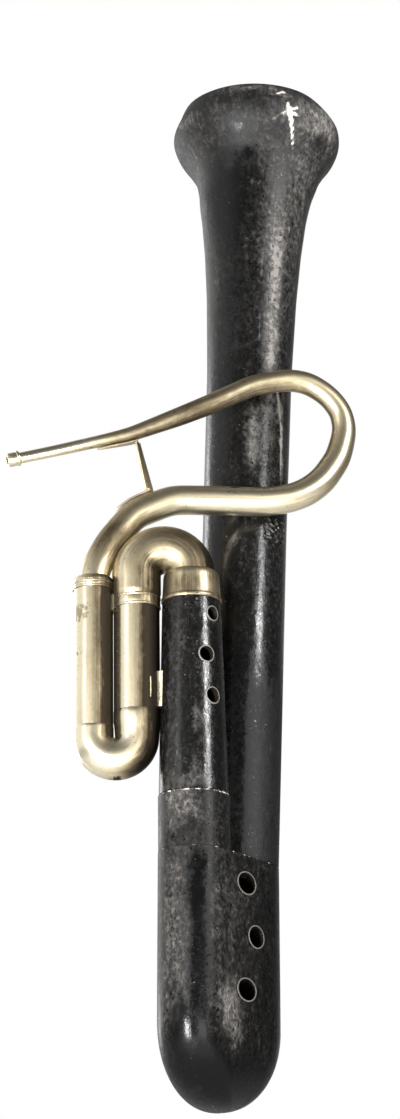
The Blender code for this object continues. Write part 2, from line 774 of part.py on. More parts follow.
def crook_socket():
    """The ferrule on top of the up tube, coned in to the crook, with a bead round it."""
    inner = UP_TUBE_R + GAP
    neck = CROOK_TENON_R + 3.0 * GAP
    low = SOCKET_Z
    top = SOCKET_Z + SOCKET_HEIGHT
    profile = [
        (neck, top),
        (neck + 0.0006, top),
        (inner + 0.0006, top - 0.0042),
        (inner + 0.0011, top - 0.0054),
        (inner + 0.0011, top - 0.0066),
        (inner + 0.0006, top - 0.0078),
        (inner + 0.0006, low),
        (inner, low),
        (inner, top - 0.0045),
        (neck, top - 0.0010),
    ]
    place = Matrix.Translation((-WING_TO_DOWN_TUBE - DOWN_TO_UP_TUBE, 0.0, 0.0))
    turned("crook_socket", profile, WING, BRASS, SMALL_SIDES, place)


wing_ferrule()
upper_bow()
bow_ring()
straight_tubes()
lower_bow()
crook_socket()


# Stays between the tubes


def tube_cutter(name, x, radius):
    """The space a tube beside the wing joint takes up, with a little room round it."""
    place = Matrix.Translation((x, 0.0, 0.0))
    profile = rod_profile(radius, WING_SOCKET_RISE, SOCKET_Z + SOCKET_HEIGHT)
    return as_cutter(turned(name, profile, WING, WOOD, 2 * SMALL_SIDES, place))


def shown(cutter):
    """Turns a box made as a cutter into a brass piece of the serpent."""
    CUTTERS.objects.unlink(cutter)
    SERPENT.objects.link(cutter)
    cutter.hide_render = False
    cutter.display_type = "TEXTURED"
    cutter.data.materials.append(BRASS)
    return cutter


def leg_spacer():
    """The web soldered between the up tube and the down tube, hollowed to both."""
    left = -WING_TO_DOWN_TUBE - DOWN_TO_UP_TUBE
    low = SPACER_Z - SPACER_HEIGHT / 2.0
    high = SPACER_Z + SPACER_HEIGHT / 2.0
    middle = (left + UP_TUBE_R - WING_TO_DOWN_TUBE - DOWN_TUBE_R) / 2.0
    deep = SPACER_DEPTH / 2.0
    web = shown(box("leg_spacer", (middle - 0.0055, -deep, low), (middle + 0.0055, deep, high), WING))
    boolean(web, tube_cutter("spacer_up_tube", left, UP_TUBE_R + GAP), "DIFFERENCE")
    ring = DOWN_TUBE_R + 0.0013 + 2.0 * GAP
    boolean(web, tube_cutter("spacer_down_tube", -WING_TO_DOWN_TUBE, ring), "DIFFERENCE")


def wing_stay():
    """The web between the down tube and the wing joint, with a thin curved foot on the tube."""
    low = WING_STAY_Z
    high = WING_STAY_Z + WING_STAY_HEIGHT
    left = -WING_TO_DOWN_TUBE + DOWN_TUBE_R
    deep = WING_STAY_DEPTH / 2.0
    web = shown(box("wing_stay", (left - 0.005, -deep, low), (left + 0.005, deep, high), WING))
    boolean(web, tube_cutter("stay_down_tube", -WING_TO_DOWN_TUBE, DOWN_TUBE_R + GAP), "DIFFERENCE")
    limit = [
        (0.0, FERRULE_Z),
        (wing_radius(FERRULE_Z) + GAP, FERRULE_Z),
        (WING_LOWER_R + GAP, WING_SOCKET_RISE),
        (0.0, WING_SOCKET_RISE),
    ]
    boolean(web, as_cutter(turned("stay_wing", limit, WING, WOOD, 2 * LARGE_SIDES)), "DIFFERENCE")
    inner = DOWN_TUBE_R + GAP
    middle = (low + high) / 2.0
    half = WING_STAY_FOOT_HEIGHT / 2.0
    profile = ring_profile(inner + WING_STAY_FOOT_THICKNESS, inner, middle - half, middle + half)
    place = Matrix.Translation((-WING_TO_DOWN_TUBE, 0.0, 0.0))
    foot = as_cutter(turned("stay_foot", profile, WING, BRASS, 2 * SMALL_SIDES, place))
    front = place @ Matrix.Rotation(math.radians(-57.0), 4, "Z")
    side = box("stay_foot_limit", (0.0, 0.0, low), (2.0 * inner, WING_STAY_FOOT_WIDTH, high), WING, front)
    boolean(foot, side, "INTERSECT")
    boolean(web, foot, "UNION")


leg_spacer()
wing_stay()


# Nails that hold the ferrule and the leather under it


def nails():
    """Two nails, one through the ferrule and one through the leather below it."""
    for name, height, surface in (
        ("ferrule_nail", FERRULE_Z + 0.0021, FERRULE_R + 0.0007),
        ("leather_nail", FERRULE_Z - 0.0030, wing_radius(FERRULE_Z)),
    ):
        place = aimed(height, NAIL_ANGLE, surface)
        shank = rod_profile(NAIL_SHANK_R + GAP, -NAIL_LENGTH - GAP, 0.003)
        hole = as_cutter(turned(name + "_hole", shank, WING, WOOD, 8, place))
        for holder in NAILED[name]:
            boolean(bpy.data.objects[holder], hole, "DIFFERENCE")
        profile = [
            (0.0, GAP + 0.0007),
            (NAIL_HEAD_R * 0.7, GAP + 0.0005),
            (NAIL_HEAD_R, GAP),
            (NAIL_SHANK_R, GAP),
            (NAIL_SHANK_R, -NAIL_LENGTH),
            (0.0, -NAIL_LENGTH),
        ]
        turned(name, profile, WING, IRON, 12, place)


nails()


# Crook


def crook_line():
    """(x, z, radius) in the crook's plane: tenon, first bend, loop, and back along the mouthpipe.

    The bends are given as shares of the crook's reach and rise and of the radius at its tenon.
    """
    line = [
        (0.0, -CROOK_TENON_LENGTH, CROOK_TENON_R),
        (0.0, -0.3 * CROOK_TENON_LENGTH, CROOK_TENON_R),
        (0.0, 0.0010, CROOK_TENON_R),
    ]
    for across, up, size in (
        (0.014, 0.059, 1.00),
        (0.064, 0.171, 1.00),
        (0.157, 0.305, 1.01),
        (0.305, 0.384, 1.01),
        (0.470, 0.395, 1.01),
        (0.662, 0.404, 0.99),
        (0.762, 0.424, 0.98),
        (0.838, 0.463, 0.98),
        (0.906, 0.528, 0.965),
        (0.969, 0.638, 0.92),
        (1.000, 0.771, 0.83),
        (0.987, 0.862, 0.79),
        (0.936, 0.937, 0.78),
        (0.856, 0.991, 0.78),
        (0.775, 1.000, 0.775),
        (0.633, 0.959, 0.725),
        (0.477, 0.862, 0.70),
        (0.339, 0.783, 0.65),
        (0.142, 0.678, 0.49),
    ):
        line.append((across * CROOK_REACH, up * CROOK_RISE, size * CROOK_TENON_R))
    start = (0.025 * CROOK_REACH, 0.638 * CROOK_RISE, 1.09 * MOUTHPIPE_R)
    tip = (-MOUTHPIPE_REACH, MOUTHPIPE_TIP_Z, MOUTHPIPE_R)
    for share in (0.0, 0.5, 0.8, 1.0):
        line.append(tuple(near + (far - near) * share for near, far in zip(start, tip)))
    return line


def smoothed(points, steps):
    """Points of a smooth curve through the given ones; the first and last stretches stay straight."""
    found = [points[0]]
    for i in range(1, len(points) - 2):
        for step in range(steps):
            t = step / steps
            weights = (
                -0.5 * t + t**2 - 0.5 * t**3,
                1.0 - 2.5 * t**2 + 1.5 * t**3,
                0.5 * t + 2.0 * t**2 - 1.5 * t**3,
                -0.5 * t**2 + 0.5 * t**3,
            )
            four = points[i - 1 : i + 3]
            found.append(tuple(sum(w * p[axis] for w, p in zip(weights, four)) for axis in range(3)))
    return found + [points[-2], points[-1]]


def crook():
    """The conical crook, and the thread that makes its tenon tight in the up tube."""
    path = [(x, 0.0, z, radius) for x, z, radius in smoothed(crook_line(), 2)]
    swept("crook", path, CROOK, BRASS, 14, BRASS_WALL)
    outer = UP_TUBE_R - BRASS_WALL - TENON_CLEARANCE
    high = -SOCKET_HEIGHT / 2.0
    thread = ring_profile(outer, CROOK_TENON_R + GAP, 0.004 - CROOK_TENON_LENGTH, high)
    turned("crook_tenon_lapping", thread, CROOK, THREAD, SMALL_SIDES)


def mouth_sleeve():
    """The sleeve at the end of the mouthpipe that the mouthpiece is pushed into, with a bead."""
    tip = crook_line()[-1]
    before = crook_line()[-2]
    heading = math.atan2(tip[1] - before[1], before[0] - tip[0])
    place = Matrix.Translation((tip[0], 0.0, tip[1])) @ Matrix.Rotation(heading + math.radians(90.0), 4, "Y")
    inner = MOUTHPIPE_R + GAP
    outer = MOUTH_SLEEVE_R
    low = 0.0005
    high = low + MOUTH_SLEEVE_LENGTH
    profile = [
        (outer, high),
        (outer + 0.0007, high - 0.0007),
        (outer + 0.0007, high - 0.0019),
        (outer, high - 0.0026),
        (outer, low),
        (inner, low),
        (inner, high),
    ]
    turned("mouth_sleeve", profile, CROOK, BRASS, SMALL_SIDES, place)


def ribbon(name, line, parent):
    """A flat brass strip along line, which holds (x, z, half width), as an open surface."""
    curve = bpy.data.curves.new(name + "_path", "CURVE")
    curve.dimensions = "2D"
    curve.fill_mode = "NONE"
    curve.extrude = 1.0
    spline = curve.splines.new("POLY")
    spline.points.add(len(line) - 1)
    for point, (x, z, half) in zip(spline.points, line):
        point.co = (x, z, 0.0, 1.0)
        point.radius = half
    guide = bpy.data.objects.new(name + "_path", curve)
    SERPENT.objects.link(guide)
    mesh = evaluated_mesh(guide)
    bpy.data.objects.remove(guide)
    weld(mesh)
    mesh.transform(Matrix.Rotation(math.radians(90.0), 4, "X"))
    return add(name, mesh, parent, BRASS)


def beside(points, start, length):
    """Stations of the crook's line from x = start over a length towards -X, moved off the tube.

    The line is moved to its left as it runs; each station is (x, z), the one at start first.
    """
    found = []
    for before, point, after in zip(points, points[1:], points[2:]):
        if start - length <= point[0] <= start:
            along = Vector((after[0] - before[0], after[1] - before[1])).normalized()
            off = point[2] + 2.0 * GAP + STRAP_THICKNESS / 2.0
            found.append((point[0] - along.y * off, point[1] + along.x * off))
    return sorted(found, reverse=True)


def rounded_corner(before, corner, after, radius):
    """Points of a bend of about radius round a corner, from one straight to the other."""
    back = (Vector(before) - Vector(corner)).normalized() * radius
    on = (Vector(after) - Vector(corner)).normalized() * radius
    found = []
    for share in (0.0, 0.25, 0.5, 0.75, 1.0):
        found.append(Vector(corner) + back * (1.0 - share) ** 2 + on * share**2)
    return [(point.x, point.y) for point in found]


def crook_stay():
    """The stay between the mouthpipe and the first bend: one strip with two feet, bent to both."""
    fine = smoothed(crook_line(), 6)
    top = max(range(len(fine)), key=lambda i: fine[i][1])
    upper = beside(fine[top:], UPPER_FOOT_X, UPPER_FOOT_LENGTH)
    lower = beside(fine[:top], LOWER_FOOT_X, LOWER_FOOT_LENGTH)
    half = STRAP_WIDTH / 2.0
    line = []
    for i, (x, z) in enumerate(reversed(upper[1:])):
        line.append((x, z, half * math.sqrt(0.02 + 0.98 * i / (len(upper) - 1))))
    for x, z in rounded_corner(upper[1], upper[0], lower[0], STRAP_CORNER_R):
        line.append((x, z, half))
    for x, z in rounded_corner(upper[0], lower[0], lower[1], STRAP_CORNER_R):
        line.append((x, z, 0.8 * half))
    for i, (x, z) in enumerate(lower[2:]):
        line.append((x, z, 0.8 * half * math.sqrt(1.0 - 0.96 * (i + 1) / (len(lower) - 2))))
    strip = ribbon("crook_stay", line, CROOK)
    thick = strip.modifiers.new("thickness", "SOLIDIFY")
    thick.thickness = STRAP_THICKNESS
    thick.offset = 0.0
    thick.use_even_offset = True


crook()
mouth_sleeve()
crook_stay()


def all_parts():
    return [obj for obj in SERPENT.objects if obj.type == "MESH"]


def settle(parts):
    """Applies the modifiers and rounds the shading."""
    meshes = [evaluated_mesh(part) for part in parts]
    for part, mesh in zip(parts, meshes):
        part.modifiers.clear()
        part.data = mesh
        mesh.shade_smooth()
        mesh.set_sharp_from_angle(angle=math.radians(32.0))


settle(all_parts())
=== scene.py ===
"""The looks of an upright serpent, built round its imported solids. Metres, +Z up."""

import math

import bmesh
import bpy
import numpy as np
from mathutils import Matrix, Vector


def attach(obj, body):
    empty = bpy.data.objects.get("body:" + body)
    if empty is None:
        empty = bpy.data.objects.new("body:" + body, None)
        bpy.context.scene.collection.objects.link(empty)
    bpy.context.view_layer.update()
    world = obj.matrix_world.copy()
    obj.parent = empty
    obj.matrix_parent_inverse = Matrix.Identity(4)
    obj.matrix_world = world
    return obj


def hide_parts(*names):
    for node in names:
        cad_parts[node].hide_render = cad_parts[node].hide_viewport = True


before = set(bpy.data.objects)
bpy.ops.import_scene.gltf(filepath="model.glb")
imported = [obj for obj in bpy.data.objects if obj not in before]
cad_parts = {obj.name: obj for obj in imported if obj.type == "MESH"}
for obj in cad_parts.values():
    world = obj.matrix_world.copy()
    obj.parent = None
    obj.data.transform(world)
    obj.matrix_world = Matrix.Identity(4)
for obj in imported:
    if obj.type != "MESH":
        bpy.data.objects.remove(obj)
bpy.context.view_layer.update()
scene = bpy.context.scene

# The camera looks up at the instrument from low down and some two metres away.
tilt_up = math.radians(20.0)
camera_data = bpy.data.cameras.new("camera")
camera_data.sensor_fit = "VERTICAL"
camera_data.sensor_height = 36.0
camera_data.lens = 83.32
camera_data.clip_end = 50.0
camera = bpy.data.objects.new("camera", camera_data)
camera.location = (-0.01325, -1.9812, -0.2765)
camera.rotation_euler = (math.pi / 2.0 + tilt_up, 0.0, 0.0)
scene.collection.objects.link(camera)
scene.camera = camera

# Studio: a white ground behind and at the left, and a dim room in front, above and at the right,
# which polished brass and leather mirror by the way they face, and a pale floor below.
scene.view_settings.view_transform = "Standard"
room = bpy.data.worlds.new("room")
room.use_nodes = True
nodes = room.node_tree.nodes
links = room.node_tree.links
ambient = nodes["Background"]
ambient.inputs["Color"].default_value = (1.0, 1.0, 1.0, 1.0)
ambient.inputs["Strength"].default_value = 0.34
white_ground = nodes.new("ShaderNodeBackground")
white_ground.inputs["Color"].default_value = (1.0, 1.0, 1.0, 1.0)
way = nodes.new("ShaderNodeTexCoord")
towards = nodes.new("ShaderNodeVectorMath")
towards.operation = "DOT_PRODUCT"
towards.inputs[1].default_value = (-0.40, 0.24, -0.28)
links.new(way.outputs["Generated"], towards.inputs[0])
ground_behind = nodes.new("ShaderNodeValToRGB")
ground_behind.color_ramp.elements[0].position = 0.05
ground_behind.color_ramp.elements[1].position = 0.64
ground_behind.color_ramp.elements[0].color = (0.07, 0.07, 0.07, 1.0)
ground_behind.color_ramp.elements[1].color = (0.92, 0.92, 0.92, 1.0)
ground_behind.color_ramp.elements.new(0.28).color = (0.18, 0.18, 0.18, 1.0)
ground_behind.color_ramp.elements.new(0.44).color = (0.42, 0.42, 0.42, 1.0)
half_way = nodes.new("ShaderNodeMath")
half_way.operation = "ADD"
half_way.inputs[1].default_value = 0.5
links.new(towards.outputs["Value"], half_way.inputs[0])
links.new(half_way.outputs["Value"], ground_behind.inputs["Fac"])
mirrored = nodes.new("ShaderNodeBackground")
links.new(ground_behind.outputs["Color"], mirrored.inputs["Color"])
ray = nodes.new("ShaderNodeLightPath")
glossy = nodes.new("ShaderNodeMath")
glossy.operation = "MAXIMUM"
links.new(ray.outputs["Is Glossy Ray"], glossy.inputs[0])
links.new(ray.outputs["Is Transmission Ray"], glossy.inputs[1])
in_gloss = nodes.new("ShaderNodeMixShader")
links.new(glossy.outputs["Value"], in_gloss.inputs["Fac"])
links.new(ambient.outputs["Background"], in_gloss.inputs[1])
links.new(mirrored.outputs["Background"], in_gloss.inputs[2])
in_camera = nodes.new("ShaderNodeMixShader")
links.new(ray.outputs["Is Camera Ray"], in_camera.inputs["Fac"])
links.new(in_gloss.outputs["Shader"], in_camera.inputs[1])
links.new(white_ground.outputs["Background"], in_camera.inputs[2])
links.new(in_camera.outputs["Shader"], nodes["World Output"].inputs["Surface"])
scene.world = room

floor_mesh = bpy.data.meshes.new("floor")
floor_mesh.from_pydata([(-4, -4, -0.36), (4, -4, -0.36), (4, 4, -0.36), (-4, 4, -0.36)], [], [(0, 1, 2, 3)])
floor_paint = bpy.data.materials.new("floor paint")
floor_paint.use_nodes = True
floor_paint.node_tree.nodes["Principled BSDF"].inputs["Base Color"].default_value = (0.82, 0.82, 0.82, 1.0)
floor_paint.node_tree.nodes["Principled BSDF"].inputs["Roughness"].default_value = 0.8
floor_mesh.materials.append(floor_paint)
floor = bpy.data.objects.new("floor", floor_mesh)
scene.collection.objects.link(floor)


# Lamps: a wide window-like one at the left, a small soft one at the right that draws the bright
# lines down the leather, one behind for the rims, and low ones that light the undersides.
def soft_lamp(name, place, aim, width, height, brightness):
    """A rectangular lamp at place that faces aim; brightness is its own, 1 being white."""
    data = bpy.data.lights.new(name, "AREA")
    data.shape = "RECTANGLE"
    data.size = width
    data.size_y = height
    data.energy = brightness * math.pi * width * height
    lamp = bpy.data.objects.new(name, data)
    lamp.location = place
    lamp.rotation_euler = (Vector(aim) - Vector(place)).to_track_quat("-Z", "Y").to_euler()
    lamp.visible_camera = False
    scene.collection.objects.link(lamp)


soft_lamp("right", (1.70, -1.42, 1.10), (0.0, 0.0, 0.45), 0.26, 0.36, 165.0)
soft_lamp("left", (-1.48, -1.24, 0.62), (0.0, 0.0, 0.30), 0.20, 0.95, 5.0)
soft_lamp("rim", (-1.50, 1.40, 0.70), (0.0, 0.0, 0.50), 0.60, 1.60, 6.0)
soft_lamp("low", (0.30, -1.10, -0.33), (0.3, -1.10, 1.0), 1.10, 1.20, 0.7)
soft_lamp("below", (0.50, -1.34, -0.05), (0.0, 0.0, 0.50), 0.65, 0.55, 7.0)
soft_lamp("corner", (-0.62, -1.38, -0.16), (0.0, 0.0, 0.10), 0.25, 0.44, 140.0)


# Wooden core of the butt: two carved halves of walnut, glued in the plane of the bores and
# blackened by age. Only the bore shows, through the finger holes and where a joint is drawn.
def grained(name, dark, light, scale, stretch, roughness):
    """A finish of fine figure between two colours, drawn out or squeezed along Z by stretch."""
    made = bpy.data.materials.new(name)
    made.use_nodes = True
    nodes = made.node_tree.nodes
    links = made.node_tree.links
    shader = nodes["Principled BSDF"]
    place = nodes.new("ShaderNodeTexCoord")
    mapping = nodes.new("ShaderNodeMapping")
    mapping.inputs["Scale"].default_value = (1.0, 1.0, stretch)
    figure = nodes.new("ShaderNodeTexNoise")
    figure.inputs["Scale"].default_value = scale
    figure.inputs["Detail"].default_value = 8.0
    figure.inputs["Roughness"].default_value = 0.6
    links.new(place.outputs["Object"], mapping.inputs["Vector"])
    links.new(mapping.outputs["Vector"], figure.inputs["Vector"])
    colours = nodes.new("ShaderNodeValToRGB")
    colours.color_ramp.elements[0].position = 0.3
    colours.color_ramp.elements[1].position = 0.7
    colours.color_ramp.elements[0].color = (*dark, 1.0)
    colours.color_ramp.elements[1].color = (*light, 1.0)
    links.new(figure.outputs["Fac"], colours.inputs["Fac"])
    links.new(colours.outputs["Color"], shader.inputs["Base Color"])
    spread = nodes.new("ShaderNodeMapRange")
    spread.inputs["To Min"].default_value = roughness - 0.08
    spread.inputs["To Max"].default_value = roughness + 0.12
    links.new(figure.outputs["Fac"], spread.inputs["Value"])
    links.new(spread.outputs["Result"], shader.inputs["Roughness"])
    bump = nodes.new("ShaderNodeBump")
    bump.inputs["Strength"].default_value = 0.3
    bump.inputs["Distance"].default_value = 0.0004
    links.new(figure.outputs["Fac"], bump.inputs["Height"])
    links.new(bump.outputs["Normal"], shader.inputs["Normal"])
    return made


def dress(names, finish):
    """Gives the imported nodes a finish."""
    for name in names:
        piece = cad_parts[name]
        piece.data.materials.clear()
        piece.data.materials.append(finish)


walnut = grained("old walnut", (0.005, 0.003, 0.002), (0.022, 0.013, 0.008), 55.0, 0.08, 0.55)
dress(["butt_front_half", "butt_rear_half"], walnut)


# Cover of the butt: calfskin glued wet over the wood and blacked. It is stretched round both
# lobes and the rounded end, and long handling has rubbed it grey in patches and torn its edges.
def leather(name, axis, streaks, mottled, index):
    """Black leather that reads three numbers of each point: rubbed, for grey wear, chipped and dull.
    On some pieces rubbed and chipped also hold painted highlights and painted shade.

    How grey a place is comes from rubbed plus four patterns: broad mottling, blisters, fine specks,
    and streaks along axis, so that a patch of wear has a ragged, spotted edge. The greyer, the duller.
    """
    made = bpy.data.materials.new(name)
    made.use_nodes = True
    nodes = made.node_tree.nodes
    links = made.node_tree.links
    shader = nodes["Principled BSDF"]
    shader.inputs["IOR"].default_value = index
    place = nodes.new("ShaderNodeTexCoord")
    upright = nodes.new("ShaderNodeMapping")
    upright.inputs["Rotation"].default_value = Vector(axis).rotation_difference(Vector((0, 0, 1))).to_euler()
    links.new(place.outputs["Object"], upright.inputs["Vector"])

    def noise(scale, stretch, detail, rough):
        mapping = nodes.new("ShaderNodeMapping")
        mapping.inputs["Scale"].default_value = (1.0, 1.0, stretch)
        texture = nodes.new("ShaderNodeTexNoise")
        texture.inputs["Scale"].default_value = scale
        texture.inputs["Detail"].default_value = detail
        texture.inputs["Roughness"].default_value = rough
        links.new(upright.outputs["Vector"], mapping.inputs["Vector"])
        links.new(mapping.outputs["Vector"], texture.inputs["Vector"])
        return texture.outputs["Fac"]

    def number(attribute):
        read = nodes.new("ShaderNodeAttribute")
        read.attribute_name = attribute
        return read.outputs["Fac"]

    def plus(value, pattern, gain, middle=0.5):
        """value + gain * (pattern - middle)"""
        step = nodes.new("ShaderNodeMath")
        step.operation = "MULTIPLY_ADD"
        step.inputs[1].default_value = gain
        step.inputs[2].default_value = -gain * middle
        links.new(pattern, step.inputs[0])
        total = nodes.new("ShaderNodeMath")
        total.operation = "ADD"
        links.new(value, total.inputs[0])
        links.new(step.outputs["Value"], total.inputs[1])
        return total.outputs["Value"]

    def ramp(value, stops):
        band = nodes.new("ShaderNodeValToRGB")
        band.color_ramp.elements[0].position = stops[0][0]
        band.color_ramp.elements[1].position = stops[-1][0]
        band.color_ramp.elements[0].color = (*stops[0][1], 1.0)
        band.color_ramp.elements[1].color = (*stops[-1][1], 1.0)
        for position, colour in stops[1:-1]:
            band.color_ramp.elements.new(position).color = (*colour, 1.0)
        links.new(value, band.inputs["Fac"])
        return band.outputs["Color"]

    def greys(*pairs):
        return [(position, (grey,) * 3) for position, grey in pairs]

    mottling = noise(38.0, 0.55, 8.0, 0.70)
    blisters = noise(210.0, 0.7, 3.0, 0.60)
    pores = ramp(noise(430.0, 0.8, 2.0, 0.5), greys((0.62, 0.0), (0.67, 1.0)))
    specks = noise(330.0, 0.8, 5.0, 0.7)
    grey = plus(number("rubbed"), mottling, mottled)
    grey = plus(grey, blisters, 0.8)
    grey = plus(grey, specks, 1.1)
    grey = plus(grey, pores, -0.35, 0.0)
    grey = plus(grey, noise(150.0, 0.05, 6.0, 0.6), streaks)
    worn = ramp(
        grey,
        [
            (0.0, (0.0022, 0.0021, 0.0020)),
            (0.35, (0.0070, 0.0066, 0.0063)),
            (0.60, (0.032, 0.030, 0.028)),
            (0.82, (0.090, 0.084, 0.078)),
            (1.0, (0.200, 0.187, 0.174)),
        ],
    )
    torn = ramp(plus(number("chipped"), specks, 1.6), greys((0.50, 0.0), (0.62, 1.0)))
    dust = ramp(noise(520.0, 1.0, 2.0, 0.5), greys((0.745, 0.0), (0.78, 1.0)))
    bare = nodes.new("ShaderNodeMix")
    bare.data_type = "RGBA"
    bare.blend_type = "MIX"
    bare.inputs[7].default_value = (0.60, 0.56, 0.50, 1.0)
    links.new(torn, bare.inputs["Factor"])
    links.new(worn, bare.inputs[6])
    dusty = nodes.new("ShaderNodeMix")
    dusty.data_type = "RGBA"
    dusty.blend_type = "ADD"
    dusty.inputs["Factor"].default_value = 0.16
    links.new(bare.outputs[2], dusty.inputs[6])
    links.new(dust, dusty.inputs[7])
    links.new(dusty.outputs[2], shader.inputs["Base Color"])
    duller = nodes.new("ShaderNodeMath")
    duller.operation = "ADD"
    links.new(grey, duller.inputs[0])
    links.new(number("dull"), duller.inputs[1])
    gloss = ramp(duller.outputs["Value"], greys((0.10, 0.19), (0.50, 0.34), (0.90, 0.60)))
    links.new(gloss, shader.inputs["Roughness"])
    creases = noise(130.0, 0.35, 4.0, 0.55)
    height = plus(plus(creases, blisters, 0.35), noise(620.0, 1.0, 3.0, 0.6), 0.25)
    grain = nodes.new("ShaderNodeBump")
    grain.inputs["Strength"].default_value = 0.9
    grain.inputs["Distance"].default_value = 0.0004
    links.new(height, grain.inputs["Height"])
    links.new(grain.outputs["Normal"], shader.inputs["Normal"])
    return made


def piece_of(name, mesh, finish, body, replaced=()):
    """Makes the mesh a piece that rides on a body and stands for the nodes it replaces."""
    made = bpy.data.objects.new(name, mesh)
    scene.collection.objects.link(made)
    mesh.materials.clear()
    mesh.materials.append(finish)
    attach(made, body)
    for node in replaced:
        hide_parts(node)
    return made


def skin(name, rings, sharp=40.0, wrap=True):
    """A closed surface through rings[i, j]: j wraps round each ring, and i wraps from last to first.

    Without wrap, the first and last rings are points, which close the ends.
    """
    rows, columns = rings.shape[:2]
    index = np.arange(rows * columns).reshape(rows, columns)
    quads = np.stack(
        [index, np.roll(index, -1, 1), np.roll(np.roll(index, -1, 0), -1, 1), np.roll(index, -1, 0)], axis=-1
    )
    quads = (quads if wrap else quads[:-1]).reshape(-1, 4)
    mesh = bpy.data.meshes.new(name)
    mesh.from_pydata(rings.reshape(-1, 3).tolist(), [], quads.tolist())
    work = bmesh.new()
    work.from_mesh(mesh)
    bmesh.ops.remove_doubles(work, verts=work.verts, dist=0.000002)
    bmesh.ops.recalc_face_normals(work, faces=work.faces)
    work.to_mesh(mesh)
    work.free()
    mesh.shade_smooth()
    mesh.set_sharp_from_angle(angle=math.radians(sharp))
    return mesh


def carried(place, points):
    """Points taken from a frame's own coordinates to the object's, by the matrix of the frame."""
    matrix = np.array(place)
    return points @ matrix[:3, :3].T + matrix[:3, 3]


def points_in(mesh, place):
    """The mesh's points in a frame's own coordinates."""
    flat = np.empty(3 * len(mesh.vertices), dtype=np.float32)
    mesh.vertices.foreach_get("co", flat)
    return carried(place.inverted(), flat.reshape(-1, 3).astype(float))


def keep(mesh, name, values):
    """Keeps one number for each point of the mesh, which its finish reads by name."""
    layer = mesh.attributes.new(name, "FLOAT", "POINT")
    layer.data.foreach_set("value", np.broadcast_to(values, len(mesh.vertices)).astype(np.float32))


def patches(across, up, spots):
    """Sum of soft ovals, each (across, up, half width, half height, strength), level in the middle."""
    total = np.zeros(len(across))
    for middle, level, wide, tall, strength in spots:
        away = ((across - middle) / wide) ** 2 + ((up - level) / tall) ** 2
        total += strength * np.exp(-(away**1.5))
    return total


def scratches(across, up, lines):
    """The strongest of fine marks, each ((across, up), (across, up), half width, strength), tapering."""
    total = np.zeros(len(across))
    here = np.stack([across, up], -1)
    for start, end, wide, strength in lines:
        start = np.array(start)
        along = np.array(end) - start
        share = np.clip((here - start) @ along / (along @ along), 0.0, 1.0)
        away = np.linalg.norm(here - start - share[:, None] * along, axis=1)
        away = away / (wide * (1.0 - 0.6 * share))
        total = np.maximum(total, strength * (1.0 - 0.4 * share) * np.exp(-(away**2)))
    return total


def drilled(mesh, name, cutters):
    """The mesh with the cutter meshes taken away."""
    whole = bpy.data.objects.new(name, mesh)
    scene.collection.objects.link(whole)
    tools = []
    for cutter in cutters:
        tool = bpy.data.objects.new(name + "_cutter", cutter)
        scene.collection.objects.link(tool)
        tools.append(tool)
        step = whole.modifiers.new("hole", "BOOLEAN")
        step.operation = "DIFFERENCE"
        step.solver = "EXACT"
        step.object = tool
    bpy.context.view_layer.update()
    graph = bpy.context.evaluated_depsgraph_get()
    made = bpy.data.meshes.new_from_object(whole.evaluated_get(graph))
    for spare in (whole, *tools):
        bpy.data.objects.remove(spare)
    made.set_sharp_from_angle(angle=math.radians(40.0))
    return made


def rod(name, place, radius, low, high, sides=64):
    """A closed round rod along a frame's Z, used to drill with."""
    angle = np.linspace(0.0, 2.0 * np.pi, sides, endpoint=False)
    profile = ((0.0, low), (radius, low), (radius, high), (0.0, high))
    rings = [np.stack([r * np.cos(angle), r * np.sin(angle), np.full(sides, z)], -1) for r, z in profile]
    return skin(name, carried(place, np.array(rings)), wrap=False)


gap = 0.0003
butt_turn = math.radians(60.0)
bore_spacing = 0.0634
wing_lobe = 0.0282
bell_lobe = 0.0350
shoulder = 0.1930
end_height = 0.0650
wing_fullness = 3.0
bell_fullness = 2.12
leather_depth = 0.0012
butt_middle = (bore_spacing + bell_lobe - wing_lobe) / 2.0
butt_plane = Matrix.Rotation(butt_turn, 4, "Z") @ Matrix.Translation((-butt_middle, 0.0, 0.0))


def butt_outline(wing_u, wing_r, bell_u, bell_r, fine):
    """The line stretched round two circles: arc, straight, arc, straight, with even steps."""
    tangent = np.arccos(np.clip((wing_r - bell_r) / (bell_u - wing_u), -0.98, 0.98))
    bell_angle = np.linspace(-tangent, tangent, 3 * fine)
    wing_angle = np.linspace(tangent, 2.0 * np.pi - tangent, 3 * fine)
    bell_arc = np.stack([bell_u + bell_r * np.cos(bell_angle), bell_r * np.sin(bell_angle)], -1)
    wing_arc = np.stack([wing_u + wing_r * np.cos(wing_angle), wing_r * np.sin(wing_angle)], -1)
    share = np.linspace(0.0, 1.0, 2 * fine)[1:-1, None]
    there = bell_arc[-1] + (wing_arc[0] - bell_arc[-1]) * share
    back = wing_arc[-1] + (bell_arc[0] - wing_arc[-1]) * share
    return np.concatenate([bell_arc, there, wing_arc, back])


